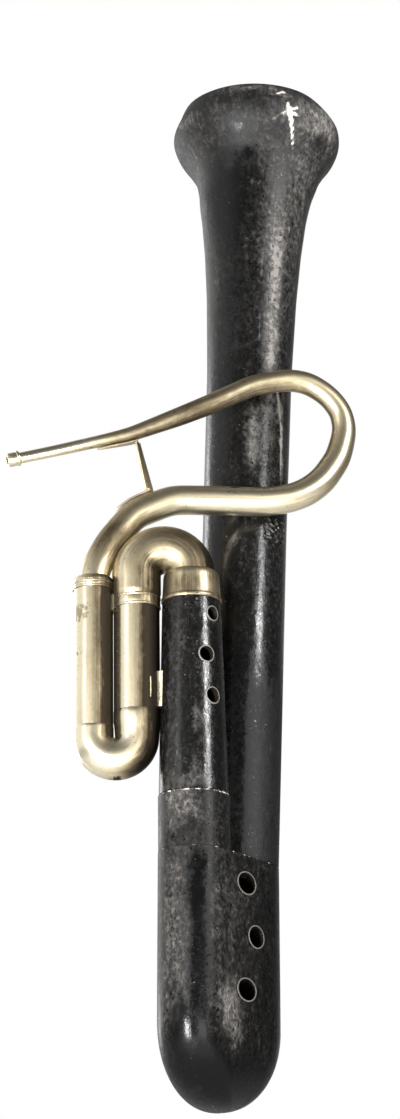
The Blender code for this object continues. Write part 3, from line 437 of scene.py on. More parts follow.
def butt_rings(inset, top, steps, rises, fine=19):
    """Outlines from the lowest point up: sin of the angle for length, fuller curves for the widths."""
    half = (bore_spacing + bell_lobe + wing_lobe) / 2.0 - inset
    rings = []
    for angle in np.linspace(0.0, np.pi / 2.0, steps):
        length = max(np.sin(angle), 1e-5)
        falling = max(np.cos(angle), 0.0)
        wing_r = (wing_lobe - inset) * max((1.0 - falling**wing_fullness) ** (1.0 / wing_fullness), 1e-5)
        bell_r = (bell_lobe - inset) * max((1.0 - falling**bell_fullness) ** (1.0 / bell_fullness), 1e-5)
        wing_u = butt_middle - half * length + wing_r
        bell_u = butt_middle + half * length - bell_r
        line = butt_outline(wing_u, wing_r, bell_u, bell_r, fine)
        height = end_height - (end_height - inset) * np.cos(angle)
        rings.append(np.column_stack([line, np.full(len(line), height)]))
    for height in np.linspace(end_height, top, rises)[1:]:
        rings.append(np.column_stack([rings[steps - 1][:, :2], np.full(len(line), height)]))
    return np.array(rings)


finger_holes = ((0.1712, -139.5, 0.0080), (0.1313, -126.8, 0.0080), (0.0888, -140.1, 0.0080))
bush_wall = 0.0012


def aimed(height, degrees):
    """The frame of a hole whose own +Z points outwards, at an angle round a joint's axis."""
    turn = Matrix.Rotation(math.radians(degrees), 4, "Z")
    out = Matrix.Rotation(math.pi / 2.0, 4, "Y")
    return Matrix.Translation((0.0, 0.0, height)) @ turn @ out


butt_skin = leather("butt leather", (0, 0, 1), 0.25, 0.60, 1.24)
outside = butt_rings(0.0, shoulder, 44, 84)
inside = butt_rings(leather_depth, shoulder, 12, 6)
cover = skin("butt_cover", carried(butt_plane, np.concatenate([outside, inside[::-1]])))
holes = []
for height, degrees, radius in finger_holes:
    place = butt_plane @ Matrix.Translation((bore_spacing, 0.0, 0.0)) @ aimed(height, degrees)
    holes.append(rod("hole", place, radius + bush_wall + gap, 0.0, 0.09))
cover = drilled(cover, "butt_cover", holes)
x, y, z = points_in(cover, Matrix()).T
front = np.clip(0.5 - (y + 0.010 - 0.5 * x) / 0.030, 0.0, 1.0)
worn_front = patches(
    x,
    z,
    (
        (-0.036, 0.150, 0.017, 0.060, 0.16),
        (-0.033, 0.105, 0.011, 0.045, 0.10),
        (-0.0132, 0.178, 0.009, 0.010, -0.55),
        (-0.0150, 0.156, 0.008, 0.014, -0.50),
        (-0.0145, 0.108, 0.007, 0.048, -0.42),
        (0.004, 0.150, 0.010, 0.060, 0.12),
        (0.0105, 0.063, 0.009, 0.034, 0.42),
        (0.040, 0.125, 0.012, 0.060, -0.20),
        (-0.0270, 0.0545, 0.007, 0.018, -0.45),
        # The next patch darkens the rounded end underneath, as painted shade.
        (-0.0020, 0.018, 0.045, 0.030, -0.60),
        (-0.0160, 0.012, 0.008, 0.004, 0.40),
    ),
)
fine_front = scratches(
    x,
    z,
    (
        ((-0.0075, 0.0425), (0.0030, 0.0438), 0.0008, 0.5),
        ((-0.0040, 0.132), (-0.0030, 0.120), 0.0007, 0.4),
        ((0.0455, 0.150), (0.0468, 0.130), 0.0007, 0.4),
    ),
)
keep(cover, "rubbed", 0.335 + front * (worn_front + fine_front) - 0.06 * (1.0 - front))
ragged = 0.5 + 0.5 * np.sin(310.0 * x + 90.0 * y) * np.sin(170.0 * x - 260.0 * y + 1.0)
keep(cover, "chipped", (0.38 + 0.10 * ragged) * (z > shoulder - 0.0012) + 0.35 * fine_front)
matt = 0.36 * np.clip((z - 0.066) / 0.028, 0.0, 1.0) + 0.40 * np.clip((0.052 - z) / 0.014, 0.0, 1.0)
keep(cover, "dull", matt)
piece_of("butt_cover", cover, butt_skin, "butt", ["butt_leather"])

# Sleeve of leather round the raised socket that takes the wing joint. Its upper edge is frayed
# to the raw skin, and its lower edge makes a seam at the shoulder.
wing_lean = math.atan(-0.024)
across = Vector((-math.sin(butt_turn), math.cos(butt_turn), 0.0))
wing_foot = butt_plane @ Vector((0.0, 0.0, shoulder))
wing_axis = Matrix.Translation(wing_foot) @ Matrix.Rotation(wing_lean, 4, across)
socket_r = 0.0279
socket_rise = 0.0450


def turned_rings(profile, sides=96, place=None, floor=None):
    """A profile of (radius, height) turned round Z; floor is the level that trims its foot in place."""
    angle = np.linspace(0.0, 2.0 * np.pi, sides, endpoint=False)
    profile = np.array(profile)
    radius = profile[:, :1]
    height = np.repeat(profile[:, 1:], sides, axis=1)
    points = np.stack([radius * np.cos(angle), radius * np.sin(angle), height], -1)
    if floor is not None:
        matrix = np.array(place)
        lowest = floor - matrix[2, 3] - points[..., 0] * matrix[2, 0] - points[..., 1] * matrix[2, 1]
        lowest = lowest / matrix[2, 2]
        points[..., 2] = np.where(points[..., 2] > -0.01, np.maximum(points[..., 2], lowest), points[..., 2])
    return points


def turned(name, profile, place, sides=96, floor=None):
    """A closed profile of (radius, height) turned round a frame's Z."""
    return skin(name, carried(place, turned_rings(profile, sides, place, floor)))


def rounded_band(outer, inner, low, high, edge, rows=24):
    """The profile of a band whose outer edges are rounded by edge."""
    turn = np.linspace(0.0, np.pi / 2.0, 5)
    top = np.stack([outer - edge + edge * np.cos(turn), high - edge + edge * np.sin(turn)], -1)
    bottom = np.stack([outer - edge + edge * np.sin(turn), low + edge - edge * np.cos(turn)], -1)
    rise = np.linspace(low + edge, high - edge, rows)[1:-1]
    side = np.stack([np.full(len(rise), outer), rise], -1)
    return np.concatenate([bottom, side, top, [[inner, high], [inner, low]]])


rings = turned_rings(
    rounded_band(socket_r, socket_r - leather_depth, -0.002, socket_rise, 0.0004, 34), 180, wing_axis, shoulder + gap
)
angle = np.arctan2(rings[..., 1], rings[..., 0])
frayed = 0.5 + 0.22 * np.sin(9.0 * angle + 1.0) + 0.18 * np.sin(23.0 * angle) + 0.10 * np.sin(51.0 * angle + 2.0)
rings[..., 2] -= 0.0009 * frayed * (rings[..., 2] > socket_rise - 0.0006)
sleeve = skin("socket_sleeve", carried(wing_axis, rings))
x, y, z = points_in(sleeve, wing_axis).T
angle = np.degrees(np.arctan2(y, x))
rubbed = 0.34 + patches(
    angle,
    z,
    (
        (-120.0, 0.030, 34.0, 0.020, 0.34),
        (-100.0, 0.014, 18.0, 0.008, -0.20),
        (-70.0, 0.020, 20.0, 0.030, -0.10),
        (-84.0, 0.028, 6.0, 0.018, 0.12),
    ),
)
keep(sleeve, "rubbed", rubbed)
torn_edge = 0.49 + 0.08 * np.sin(0.13 * angle) + 0.05 * np.sin(0.37 * angle + 1.0)
keep(sleeve, "chipped", torn_edge * np.clip((z - socket_rise + 0.0024) / 0.0012, 0.0, 1.0))
keep(sleeve, "dull", 0.30)
piece_of("socket_sleeve", sleeve, butt_skin, "butt", ["wing_socket_leather"])


# Lower bushes: short horn tubes let obliquely into the slanting side of the butt, so that the
# fingers can close the bore. Their rims are rubbed pale.
def horn_finish():
    """Dark horn that pales to grey where the number rubbed is high."""
    made = grained("horn", (0.005, 0.004, 0.004), (0.022, 0.018, 0.014), 240.0, 1.0, 0.34)
    nodes = made.node_tree.nodes
    links = made.node_tree.links
    shader = nodes["Principled BSDF"]
    dark = shader.inputs["Base Color"].links[0].from_socket
    read = nodes.new("ShaderNodeAttribute")
    read.attribute_name = "rubbed"
    mix = nodes.new("ShaderNodeMix")
    mix.data_type = "RGBA"
    mix.inputs[7].default_value = (0.24, 0.22, 0.19, 1.0)
    links.new(read.outputs["Fac"], mix.inputs["Factor"])
    links.new(dark, mix.inputs[6])
    links.new(mix.outputs[2], shader.inputs["Base Color"])
    return made


def bush(name, place, radius, depth, surface):
    """A horn tube along a hole's Z, its rim following surface(x, y), the height of the leather there."""
    outer = radius + bush_wall
    lip = 0.0004
    turn = np.linspace(0.0, np.pi / 2.0, 5)
    over_out = np.stack([outer - 0.0004 + 0.0004 * np.cos(turn), lip - 0.0004 + 0.0004 * np.sin(turn)], -1)
    over_in = np.stack([radius + 0.0004 - 0.0004 * np.sin(turn), lip - 0.0004 + 0.0004 * np.cos(turn)], -1)
    rim = np.concatenate([over_out, over_in])
    angle = np.linspace(0.0, 2.0 * np.pi, 64, endpoint=False)
    x = rim[:, :1] * np.cos(angle)
    y = rim[:, :1] * np.sin(angle)
    top = np.stack([x, y, surface(x, y) + rim[:, 1:]], -1)
    foot = surface(0.0, 0.0) - depth
    low_in = np.stack([radius * np.cos(angle), radius * np.sin(angle), np.full(64, foot)], -1)
    low_out = np.stack([outer * np.cos(angle), outer * np.sin(angle), np.full(64, foot)], -1)
    mesh = skin(name, carried(place, np.concatenate([[low_out], top, [low_in]])))
    x, y, z = points_in(mesh, place).T
    keep(mesh, "rubbed", 0.48 * (z > foot + 0.0008) * (np.hypot(x, y) > radius + 0.0002))
    return mesh


horn = horn_finish()
flat_side = np.arccos((wing_lobe - bell_lobe) / bore_spacing)
for number, (height, degrees, radius) in enumerate(finger_holes, 4):
    place = butt_plane @ Matrix.Translation((bore_spacing, 0.0, 0.0)) @ aimed(height, degrees)
    slant = math.radians(degrees) + flat_side
    mesh = bush(
        f"lower_bush_{number}",
        place,
        radius,
        0.0120,
        lambda x, y, slant=slant: (bell_lobe + y * np.sin(slant)) / np.cos(slant),
    )
    piece_of(f"lower_bush_{number}", mesh, horn, "butt", [f"finger_bush_{number}"])

# Wing joint: turned walnut with a straight tenon below, bored from end to end.
wing_low_r = 0.0273
wing_high_r = 0.0235
ferrule_z = 0.2015
ferrule_height = 0.0253
ferrule_r = 0.0235
brass_wall = 0.0008
bow_z = 0.2250
wing_bore_top_r = 0.0176
wing_bore_r = 0.0186
wing_tenon_r = 0.0205
wing_tenon = 0.0400
wing_holes = ((0.1881, -45.4, 0.0053), (0.1538, -62.1, 0.0059), (0.1205, -50.9, 0.0059))
foot = socket_rise + gap
tenon_end = foot - wing_tenon


def wing_radius(height):
    """Outer radius of the wing joint's leather, an even taper."""
    share = (height - socket_rise) / (ferrule_z - socket_rise)
    return wing_low_r + (wing_high_r - wing_low_r) * share


under = leather_depth + gap
wood = turned(
    "wing_wood",
    [
        (ferrule_r - brass_wall - gap, bow_z - 0.0135),
        (ferrule_r - brass_wall - gap, ferrule_z + gap),
        (wing_radius(ferrule_z) - under, ferrule_z - gap),
        (wing_low_r - under, foot),
        (wing_tenon_r - gap, foot),
        (wing_tenon_r - gap, tenon_end),
        (wing_bore_r, tenon_end),
        (wing_bore_top_r, bow_z - 0.0135),
    ],
    wing_axis,
)
wing_drills = [
    rod("hole", wing_axis @ aimed(height, degrees), radius + bush_wall + gap, 0.0, 0.05)
    for height, degrees, radius in wing_holes
]
wood = drilled(wood, "wing_wood", wing_drills)
piece_of("wing_wood", wood, walnut, "wing", ["wing_joint"])


# Lapping: waxed thread wound side by side on each tenon, to hold it tight in its socket.
def lapping(name, place, inner, outer, low, high, body, node, cutters=()):
    """A band whose outside rises and falls with each turn of the thread."""
    rise = np.arange(low, high, 0.0003)
    wound = outer - 0.00025 + 0.00025 * np.abs(np.sin(np.pi * (rise - low) / 0.0009))
    profile = np.concatenate([np.stack([wound, rise], -1), [[inner, rise[-1]], [inner, low]]])
    mesh = turned(name, profile, place, 64)
    if cutters:
        mesh = drilled(mesh, name, cutters)
    mesh.set_sharp_from_angle(angle=math.radians(100.0))
    piece_of(name, mesh, thread, body, [node])


thread = grained("waxed thread", (0.110, 0.066, 0.030), (0.270, 0.175, 0.090), 260.0, 6.0, 0.75)
lapping(
    "wing_lapping",
    wing_axis,
    wing_tenon_r,
    wing_tenon_r + 0.0010,
    tenon_end + 0.004,
    foot - 0.004,
    "wing",
    "wing_tenon_lapping",
)

# Cover of the wing joint: thin black leather, more polished than the butt's, closed by a lapped
# seam down the back and held by the ferrule above.
wing_skin = leather("wing leather", wing_axis.to_3x3() @ Vector((0, 0, 1)), 0.30, 0.35, 1.36)


def seam(angle, radius, width, lift):
    """How far the lapped edge of the leather stands up: level over width at the back, then a step."""
    away = (np.mod(angle - np.pi / 2.0 + np.pi, 2.0 * np.pi) - np.pi) * radius
    return lift * np.clip(1.0 - away / width, 0.0, 1.0) * np.clip(away / 0.0008 + 1.0, 0.0, 1.0)


rise = np.linspace(foot, ferrule_z - gap, 130)
outer = np.stack([wing_radius(rise), rise], -1)
inner = np.stack([wing_radius(rise[::16]) - leather_depth, rise[::16]], -1)
rings = turned_rings(np.concatenate([outer, inner[::-1]]), 168)
angle = np.arctan2(rings[:130, :, 1], rings[:130, :, 0])
rings[:130, :, :2] *= (1.0 + seam(angle, 0.025, 0.007, 0.0005) / 0.025)[..., None]
cover = drilled(skin("wing_cover", carried(wing_axis, rings)), "wing_cover", wing_drills)
x, y, z = points_in(cover, wing_axis).T
angle = np.degrees(np.arctan2(y, x))
worn = patches(
    angle,
    z,
    (
        (-125.0, 0.110, 25.0, 0.090, 0.10),
        (-84.6, 0.1014, 9.0, 0.011, 0.28),
        (-85.8, 0.0606, 9.0, 0.010, 0.26),
        (-100.0, 0.0510, 40.0, 0.0060, 0.22),
        (-98.0, 0.150, 7.0, 0.040, -0.10),
        (-104.0, 0.094, 14.0, 0.032, -0.20),
        (-35.0, 0.100, 18.0, 0.100, -0.12),
    ),
)
fine = scratches(
    angle,
    z * 2500.0,
    (
        ((-118.0, 180.0), (-116.0, 330.0), 1.1, 0.28),
        ((-92.0, 290.0), (-95.0, 340.0), 0.9, 0.30),
        ((-70.0, 380.0), (-66.0, 450.0), 1.0, 0.25),
    ),
)
keep(cover, "rubbed", 0.27 + worn + fine)
keep(cover, "chipped", 0.42 * (z < foot + 0.0012) + 0.30 * fine)
piece_of("wing_cover", cover, wing_skin, "wing", ["wing_joint_leather"])

# Upper bushes: three horn tubes like the lower ones, smaller, rounded to the wing joint.
for number, (height, degrees, radius) in enumerate(wing_holes, 1):
    here = wing_radius(height)
    mesh = bush(
        f"upper_bush_{number}",
        wing_axis @ aimed(height, degrees),
        radius,
        0.0055,
        lambda x, y, here=here: np.sqrt((here + (x * 0.024)) ** 2 - y**2),
    )
    piece_of(f"upper_bush_{number}", mesh, horn, "wing", [f"finger_bush_{number}"])


# Windway beside the wing joint: two straight tubes of seamed sheet brass, joined below by a bent
# one. Their sides that face left are painted brighter, a painted highlight, and their sides that
# face right are painted darker, as painted shade.
def brass():
    """Brass that reads two numbers of each point: polish, from 0 for brown tarnish to 1 and also holding painted
    highlights and painted shade, and pitted.

    Its patches, lengthwise streaks and dark specks follow the points' places on the straight tube
    from which the piece was bent, kept as unrolled.
    """
    made = bpy.data.materials.new("old brass")
    made.use_nodes = True
    nodes = made.node_tree.nodes
    links = made.node_tree.links
    shader = nodes["Principled BSDF"]
    shader.inputs["Metallic"].default_value = 1.0
    place = nodes.new("ShaderNodeAttribute")
    place.attribute_name = "unrolled"

    def noise(scale, detail, rough, squeeze=1.0):
        mapping = nodes.new("ShaderNodeMapping")
        mapping.inputs["Scale"].default_value = (1.0, 1.0, squeeze)
        texture = nodes.new("ShaderNodeTexNoise")
        texture.inputs["Scale"].default_value = scale
        texture.inputs["Detail"].default_value = detail
        texture.inputs["Roughness"].default_value = rough
        links.new(place.outputs["Vector"], mapping.inputs["Vector"])
        links.new(mapping.outputs["Vector"], texture.inputs["Vector"])
        return texture.outputs["Fac"]

    def sum_of(value, pattern, gain):
        """value + gain * (pattern - 0.5)"""
        step = nodes.new("ShaderNodeMath")
        step.operation = "MULTIPLY_ADD"
        step.inputs[1].default_value = gain
        step.inputs[2].default_value = -0.5 * gain
        links.new(pattern, step.inputs[0])
        total = nodes.new("ShaderNodeMath")
        total.operation = "ADD"
        links.new(value, total.inputs[0])
        links.new(step.outputs["Value"], total.inputs[1])
        return total.outputs["Value"]

    def ramp(value, stops):
        band = nodes.new("ShaderNodeValToRGB")
        band.color_ramp.elements[0].position = stops[0][0]
        band.color_ramp.elements[1].position = stops[-1][0]
        band.color_ramp.elements[0].color = (*stops[0][1], 1.0)
        band.color_ramp.elements[1].color = (*stops[-1][1], 1.0)
        for position, colour in stops[1:-1]:
            band.color_ramp.elements.new(position).color = (*colour, 1.0)
        links.new(value, band.inputs["Fac"])
        return band.outputs["Color"]

    polish = nodes.new("ShaderNodeAttribute")
    polish.attribute_name = "polish"
    state = sum_of(polish.outputs["Fac"], noise(40.0, 8.0, 0.65, 0.35), 0.75)
    state = sum_of(state, noise(420.0, 4.0, 0.6, 0.03), 0.55)
    state = sum_of(state, noise(230.0, 5.0, 0.7, 0.5), 0.35)
    metal = ramp(
        state,
        [
            (0.0, (0.024, 0.019, 0.013)),
            (0.25, (0.150, 0.118, 0.072)),
            (0.50, (0.46, 0.39, 0.255)),
            (0.75, (0.76, 0.67, 0.48)),
            (1.0, (0.92, 0.84, 0.64)),
        ],
    )
    pitted = nodes.new("ShaderNodeAttribute")
    pitted.attribute_name = "pitted"
    pits = sum_of(noise(330.0, 3.0, 0.6), pitted.outputs["Fac"], 0.2)
    specks = ramp(pits, [(0.56, (1.0, 1.0, 1.0)), (0.62, (0.35, 0.33, 0.30))])
    spotted = nodes.new("ShaderNodeMix")
    spotted.data_type = "RGBA"
    spotted.blend_type = "MULTIPLY"
    spotted.inputs["Factor"].default_value = 0.75
    links.new(metal, spotted.inputs[6])
    links.new(specks, spotted.inputs[7])
    links.new(spotted.outputs[2], shader.inputs["Base Color"])
    dull = ramp(state, [(0.0, (0.58,) * 3), (0.45, (0.40,) * 3), (1.0, (0.24,) * 3)])
    links.new(dull, shader.inputs["Roughness"])
    dents = nodes.new("ShaderNodeBump")
    dents.inputs["Strength"].default_value = 0.35
    dents.inputs["Distance"].default_value = 0.0003
    links.new(noise(110.0, 4.0, 0.55, 0.4), dents.inputs["Height"])
    links.new(dents.outputs["Normal"], shader.inputs["Normal"])
    return made


def unrolled(mesh, points):
    """Keeps for each point its place on the straight piece, for the patterns of the brass."""
    layer = mesh.attributes.new("unrolled", "FLOAT_VECTOR", "POINT")
    layer.data.foreach_set("vector", points.astype(np.float32).ravel())


def tube(name, path, wall, place, sides=64):
    """A round tube of the given wall along path, rows of (x, z, radius) in a frame's XZ plane."""
    path = np.array(path)
    along = np.gradient(path[:, :2], axis=0)
    along /= np.linalg.norm(along, axis=1)[:, None]
    normal = np.stack([-along[:, 1], np.zeros(len(path)), along[:, 0]], -1)
    centre = np.stack([path[:, 0], np.zeros(len(path)), path[:, 1]], -1)
    angle = np.linspace(0.0, 2.0 * np.pi, sides, endpoint=False)
    sideways = np.array([0.0, 1.0, 0.0])

    def shell(radius):
        spokes = normal[:, None] * np.cos(angle)[:, None] + sideways * np.sin(angle)[:, None]
        return centre[:, None] + spokes * radius[:, None, None]

    rings = np.concatenate([shell(path[:, 2]), shell(path[:, 2] - wall)[::-1]])
    mesh = skin(name, carried(place, rings))
    run = np.concatenate([[0.0], np.cumsum(np.linalg.norm(np.diff(path[:, :2], axis=0), axis=1))])
    around = np.stack([np.cos(angle), np.sin(angle)], -1) * path[:, 2][:, None, None]
    flat = np.concatenate([around, np.broadcast_to(run[:, None, None], (len(path), sides, 1))], axis=2)
    unrolled(mesh, np.concatenate([flat, flat[::-1]]))
    return mesh


def polished(mesh, level, painted_light_left, spots=(), pits=(), lengths=(), painted_shade_right=0.0):
    """Keeps polish: level, more on the sides that face left by the factor after level, as a painted
    highlight, less on those that face right by the last factor, as painted shade, and changed at
    spots of (x, z, size, change).

    Pits are places (x, z, size, strength) full of dark specks, and lengths are stretches of a tube
    (distance along it, half length, change).
    """
    points = points_in(mesh, Matrix())
    if "unrolled" not in mesh.attributes:
        unrolled(mesh, points_in(mesh, wing_axis))
    dark = np.zeros(len(points))
    for x, z, size, strength in pits:
        away = ((points[:, 0] - x) ** 2 + (points[:, 2] - z) ** 2) / size**2
        dark = dark + strength * np.exp(-(away**1.5))
    keep(mesh, "pitted", dark)
    flat = np.empty(3 * len(mesh.vertices), dtype=np.float32)
    mesh.vertex_normals.foreach_get("vector", flat)
    facing = flat.reshape(-1, 3)[:, 0]
    # Painted light and shade: sides facing left are made brighter, a painted highlight, and sides facing right darker,
    # painted shade.
    value = level - painted_light_left * facing * np.where(facing > 0.0, 1.6, 1.0)
    value = value - painted_shade_right * np.clip(facing / 0.45, 0.0, 1.0)
    far = np.empty(3 * len(mesh.vertices), dtype=np.float32)
    mesh.attributes["unrolled"].data.foreach_get("vector", far)
    for middle, half, change in lengths:
        value = value + change * np.exp(-(np.abs((far[2::3] - middle) / half) ** 3))
    for x, z, size, change in spots:
        away = ((points[:, 0] - x) ** 2 + (points[:, 2] - z) ** 2) / size**2
        value = value + change * np.exp(-(away**1.5))
    keep(mesh, "polish", value)


old_brass = brass()
down_x = -0.0437
up_x = down_x - 0.0343
down_r = 0.0183
up_r = 0.0157
low_bow_z = 0.0925
up_joint_z = 0.1006
down_joint_z = 0.1129
sleeve_depth = 0.0072
sleeve_wall = 0.0006
ring_z = 0.1970
ring_height = 0.0096
ring_middle = ring_z + ring_height / 2.0
socket_z = 0.2131
socket_height = 0.0107
socket_top = socket_z + socket_height

down_place = wing_axis @ Matrix.Translation((down_x, 0.0, 0.0))
up_place = wing_axis @ Matrix.Translation((up_x, 0.0, 0.0))
# The number before each node sets how much darker the leg is painted on its side facing right, as painted shade.
for name, place, radius, low, high, painted_shade_right, node in (
    ("down_leg", down_place, down_r, down_joint_z - sleeve_depth, ring_middle - gap / 2.0, 0.40, "down_tube"),
    ("up_leg", up_place, up_r, up_joint_z - sleeve_depth, socket_top - 0.0050, 0.10, "up_tube"),
):
    leg = turned(name, rounded_band(radius, radius - brass_wall, low, high, 0.0001, 60), place, 80)
    polished(leg, 0.50, 0.55, (), ((-0.1080, 0.3833, 0.008, 1.6), (-0.1085, 0.3500, 0.004, 0.7)), painted_shade_right=painted_shade_right)
    piece_of(name, leg, old_brass, "wing", [node])

turn = np.linspace(np.pi, 2.0 * np.pi, 72)
half = (down_x - up_x) / 2.0
bend = np.stack([up_x + half + half * np.cos(turn), low_bow_z + half * np.sin(turn)], -1)
narrow = up_r + 0.0003
wide = down_r + 0.0002
path = np.concatenate(
    [
        [[up_x, up_joint_z, narrow - 0.0003], [up_x, up_joint_z - 0.0004, narrow]],
        [[up_x, up_joint_z - 0.0025, narrow], [up_x, up_joint_z - 0.0060, narrow]],
        np.column_stack([bend, np.linspace(narrow, 0.0174, len(bend))]),
        [[down_x, low_bow_z + 0.006, 0.0177], [down_x, down_joint_z - 0.0085, wide], [down_x, down_joint_z - 0.004, wide]],
        [[down_x, down_joint_z - 0.0004, wide], [down_x, down_joint_z, wide - 0.0003]],
    ]
)
lower_bow = tube("lower_bow_tube", path, sleeve_wall, wing_axis, 80)
# The three dark spots at the bottom of the bend are painted shade of a small dent.
polished(lower_bow, 0.72, 0.50, ((-0.0765, 0.2506, 0.0014, -1.1), (-0.0795, 0.2502, 0.0015, -1.1), (-0.0835, 0.2505, 0.0010, -0.9)), painted_shade_right=0.22)
piece_of("lower_bow_tube", lower_bow, old_brass, "wing", ["lower_bow"])

# Upper bow: a wider tube bent over a mandrel, from the down tube round into the wing's ferrule.
limb_r = 0.0195
bow_end_r = 0.0190
turn = np.linspace(np.pi, 0.0, 72)
bow = np.stack([down_x / 2.0 - down_x / 2.0 * np.cos(turn), bow_z - down_x / 2.0 * np.sin(turn)], -1)
straight_z = np.linspace(ring_middle + gap / 2.0, bow_z, 24)[:-1]
swell = down_r + (limb_r - down_r) * np.clip((straight_z - ring_z - ring_height + 0.001) / 0.004, 0.0, 1.0)
start = np.column_stack([np.full(23, down_x), straight_z, swell])
bow = np.column_stack([bow, np.linspace(limb_r, bow_end_r, len(bow))])
path = np.concatenate([start, bow, [[0.0, bow_z - 0.0132, bow_end_r]]])
upper_bow = tube("upper_bow_tube", path, brass_wall, wing_axis, 80)
# The brighter spot on the inner side of the bend is a painted highlight.
polished(upper_bow, 0.42, 0.40, ((-0.0483, 0.4303, 0.006, 0.25),))
piece_of("upper_bow_tube", upper_bow, old_brass, "wing", ["upper_bow"])


# Ferrule and rings: spun and turned brass, pushed on and soldered, each with a bead at its edge.
def bead(radius, middle, rise, half):
    """Points over a half-round bead on a wall of the given radius, from below to above."""
    angle = np.linspace(-np.pi / 2.0, np.pi / 2.0, 9)
    return np.stack([radius + rise * np.cos(angle), middle + half * np.sin(angle)], -1)


ferrule_top = ferrule_z + ferrule_height
hole = bow_end_r + gap
turn = np.linspace(0.0, np.pi / 2.0, 12)
crown_in = ferrule_r - 0.0010 - hole - 0.0006
crown = np.stack([hole + 0.0006 + crown_in * np.cos(turn), ferrule_top - 0.0060 + 0.0060 * np.sin(turn)], -1)
wall_z = np.linspace(ferrule_z + 0.005, ferrule_top - 0.0065, 10)
profile = np.concatenate(
    [
        [[ferrule_r - brass_wall, ferrule_z]],
        bead(ferrule_r, ferrule_z + 0.0020, 0.0008, 0.0018),
        [[ferrule_r - 0.0001, ferrule_z + 0.0042]],
        np.stack([np.linspace(ferrule_r - 0.0002, ferrule_r - 0.0010, 10), wall_z], -1),
        crown,
        [[hole, ferrule_top], [hole, ferrule_top - 0.0016], [ferrule_r - 0.0030, ferrule_top - 0.0070]],
        [[ferrule_r - brass_wall - 0.0009, ferrule_top - 0.0105]],
    ]
)
ferrule = turned("ferrule", profile, wing_axis)
# The darker spot across the middle of the ferrule's front is painted shade, and the two brighter spots at its left and
# right are painted light.
polished(
    ferrule,
    0.43,
    0.08,
    ((-0.0240, 0.404, 0.0095, -0.16), (-0.0440, 0.404, 0.0070, 0.16), (-0.0010, 0.404, 0.0050, 0.14)),
)
piece_of("ferrule", ferrule, old_brass, "wing", ["wing_ferrule"])

inner = down_r + gap
profile = np.concatenate(
    [
        [[inner, ring_z]],
        bead(inner + 0.0002, ring_z + 0.0011, 0.0005, 0.0010),
        [[inner + 0.0003, ring_z + 0.0026], [inner + 0.0003, ring_z + ring_height - 0.0026]],
        bead(inner + 0.0002, ring_z + ring_height - 0.0011, 0.0005, 0.0010),
        [[inner, ring_z + ring_height]],
    ]
)
ring = turned("bow_ring", profile, down_place, 80)
polished(ring, 0.50, 0.42)
piece_of("bow_ring", ring, old_brass, "wing", ["upper_bow_ring"])

crook_tenon_r = 0.0120
neck = crook_tenon_r + 3.0 * gap
inner = up_r + gap
profile = np.concatenate(
    [
        [[inner, socket_z]],
        bead(inner + 0.0003, socket_z + 0.0008, 0.0005, 0.0008),
        [[inner + 0.0006, socket_z + 0.0020], [inner + 0.0006, socket_z + 0.0032]],
        bead(inner + 0.0005, socket_z + 0.0047, 0.0007, 0.0011),
        [[inner + 0.0006, socket_z + 0.0062], [neck + 0.0022, socket_top - 0.0014], [neck + 0.0007, socket_top]],
        [[neck, socket_top], [neck, socket_top - 0.0010], [inner, socket_top - 0.0045]],
    ]
)
ring = turned("crook_ring", profile, up_place, 80)
polished(ring, 0.50, 0.42)
piece_of("crook_ring", ring, old_brass, "wing", ["crook_socket"])


# Nails: two dark iron pins with domed heads, one through the ferrule and one through the leather.
def studded(name, place, profile, sides=24):
    """A solid of revolution whose profile begins and ends on the axis."""
    return skin(name, carried(place, turned_rings(profile, sides)), wrap=False)


iron = grained("iron", (0.012, 0.011, 0.010), (0.060, 0.056, 0.052), 300.0, 1.0, 0.5)
turn = np.linspace(0.0, np.pi / 2.0, 7)
dome = np.stack([0.0012 * np.sin(turn), gap + 0.0007 * np.cos(turn)], -1)
pin = [[0.0006, gap], [0.0006, -0.0040], [0.0, -0.0040]]
for name, height, surface, node in (
    ("upper_pin", ferrule_z + 0.0021, ferrule_r + 0.0007, "ferrule_nail"),
    ("lower_pin", ferrule_z - 0.0030, wing_radius(ferrule_z), "leather_nail"),
):
    place = wing_axis @ aimed(height, -80.0) @ Matrix.Translation((0.0, 0.0, surface))
    mesh = studded(name, place, np.concatenate([dome, pin]))
    piece_of(name, mesh, iron, "wing", [node])


# Stays between the tubes: cast webs, hollowed to the round of their neighbours and soldered, the
# lower one with a thin foot that wraps round the down tube.
def web(name, left_x, left_r, right_r, depth, low, high, right_x=0.0):
    """A block between two round walls, x = left_x + root(left_r^2 - y^2) and the same from the right."""
    share = np.linspace(-1.0, 1.0, 15)
    level = np.linspace(low, high, 24)
    edge = 0.0007
    half = depth / 2.0
    y = half * np.sin(share * np.pi / 2.0)
    rows = []
    for z, inset in [(level[0], 1.0)] + [(z, 0.0) for z in level] + [(level[-1], 1.0)]:
        left = left_x + np.sqrt(left_r**2 - y**2)
        right = right_x - np.sqrt(right_r(z) ** 2 - y**2)
        middle = (left + right) / 2.0
        thick = np.maximum(right - left, 0.0002) / 2.0 * (1.0 - 0.12 * np.clip((np.abs(y) - half + edge) / edge, 0.0, 1.0) ** 2)
        near = np.stack([middle - thick, 0.80 * y, np.full(15, z)], -1)
        far = np.stack([middle + thick, y, np.full(15, z)], -1)[::-1]
        ring = np.concatenate([near, far])
        centre = np.array([(left_x + left_r + right_x - right_r(z)) / 2.0, 0.0, z])
        rows.append(ring + (centre - ring) * inset)
    return skin(name, carried(wing_axis, np.array(rows)), 50.0, wrap=False)


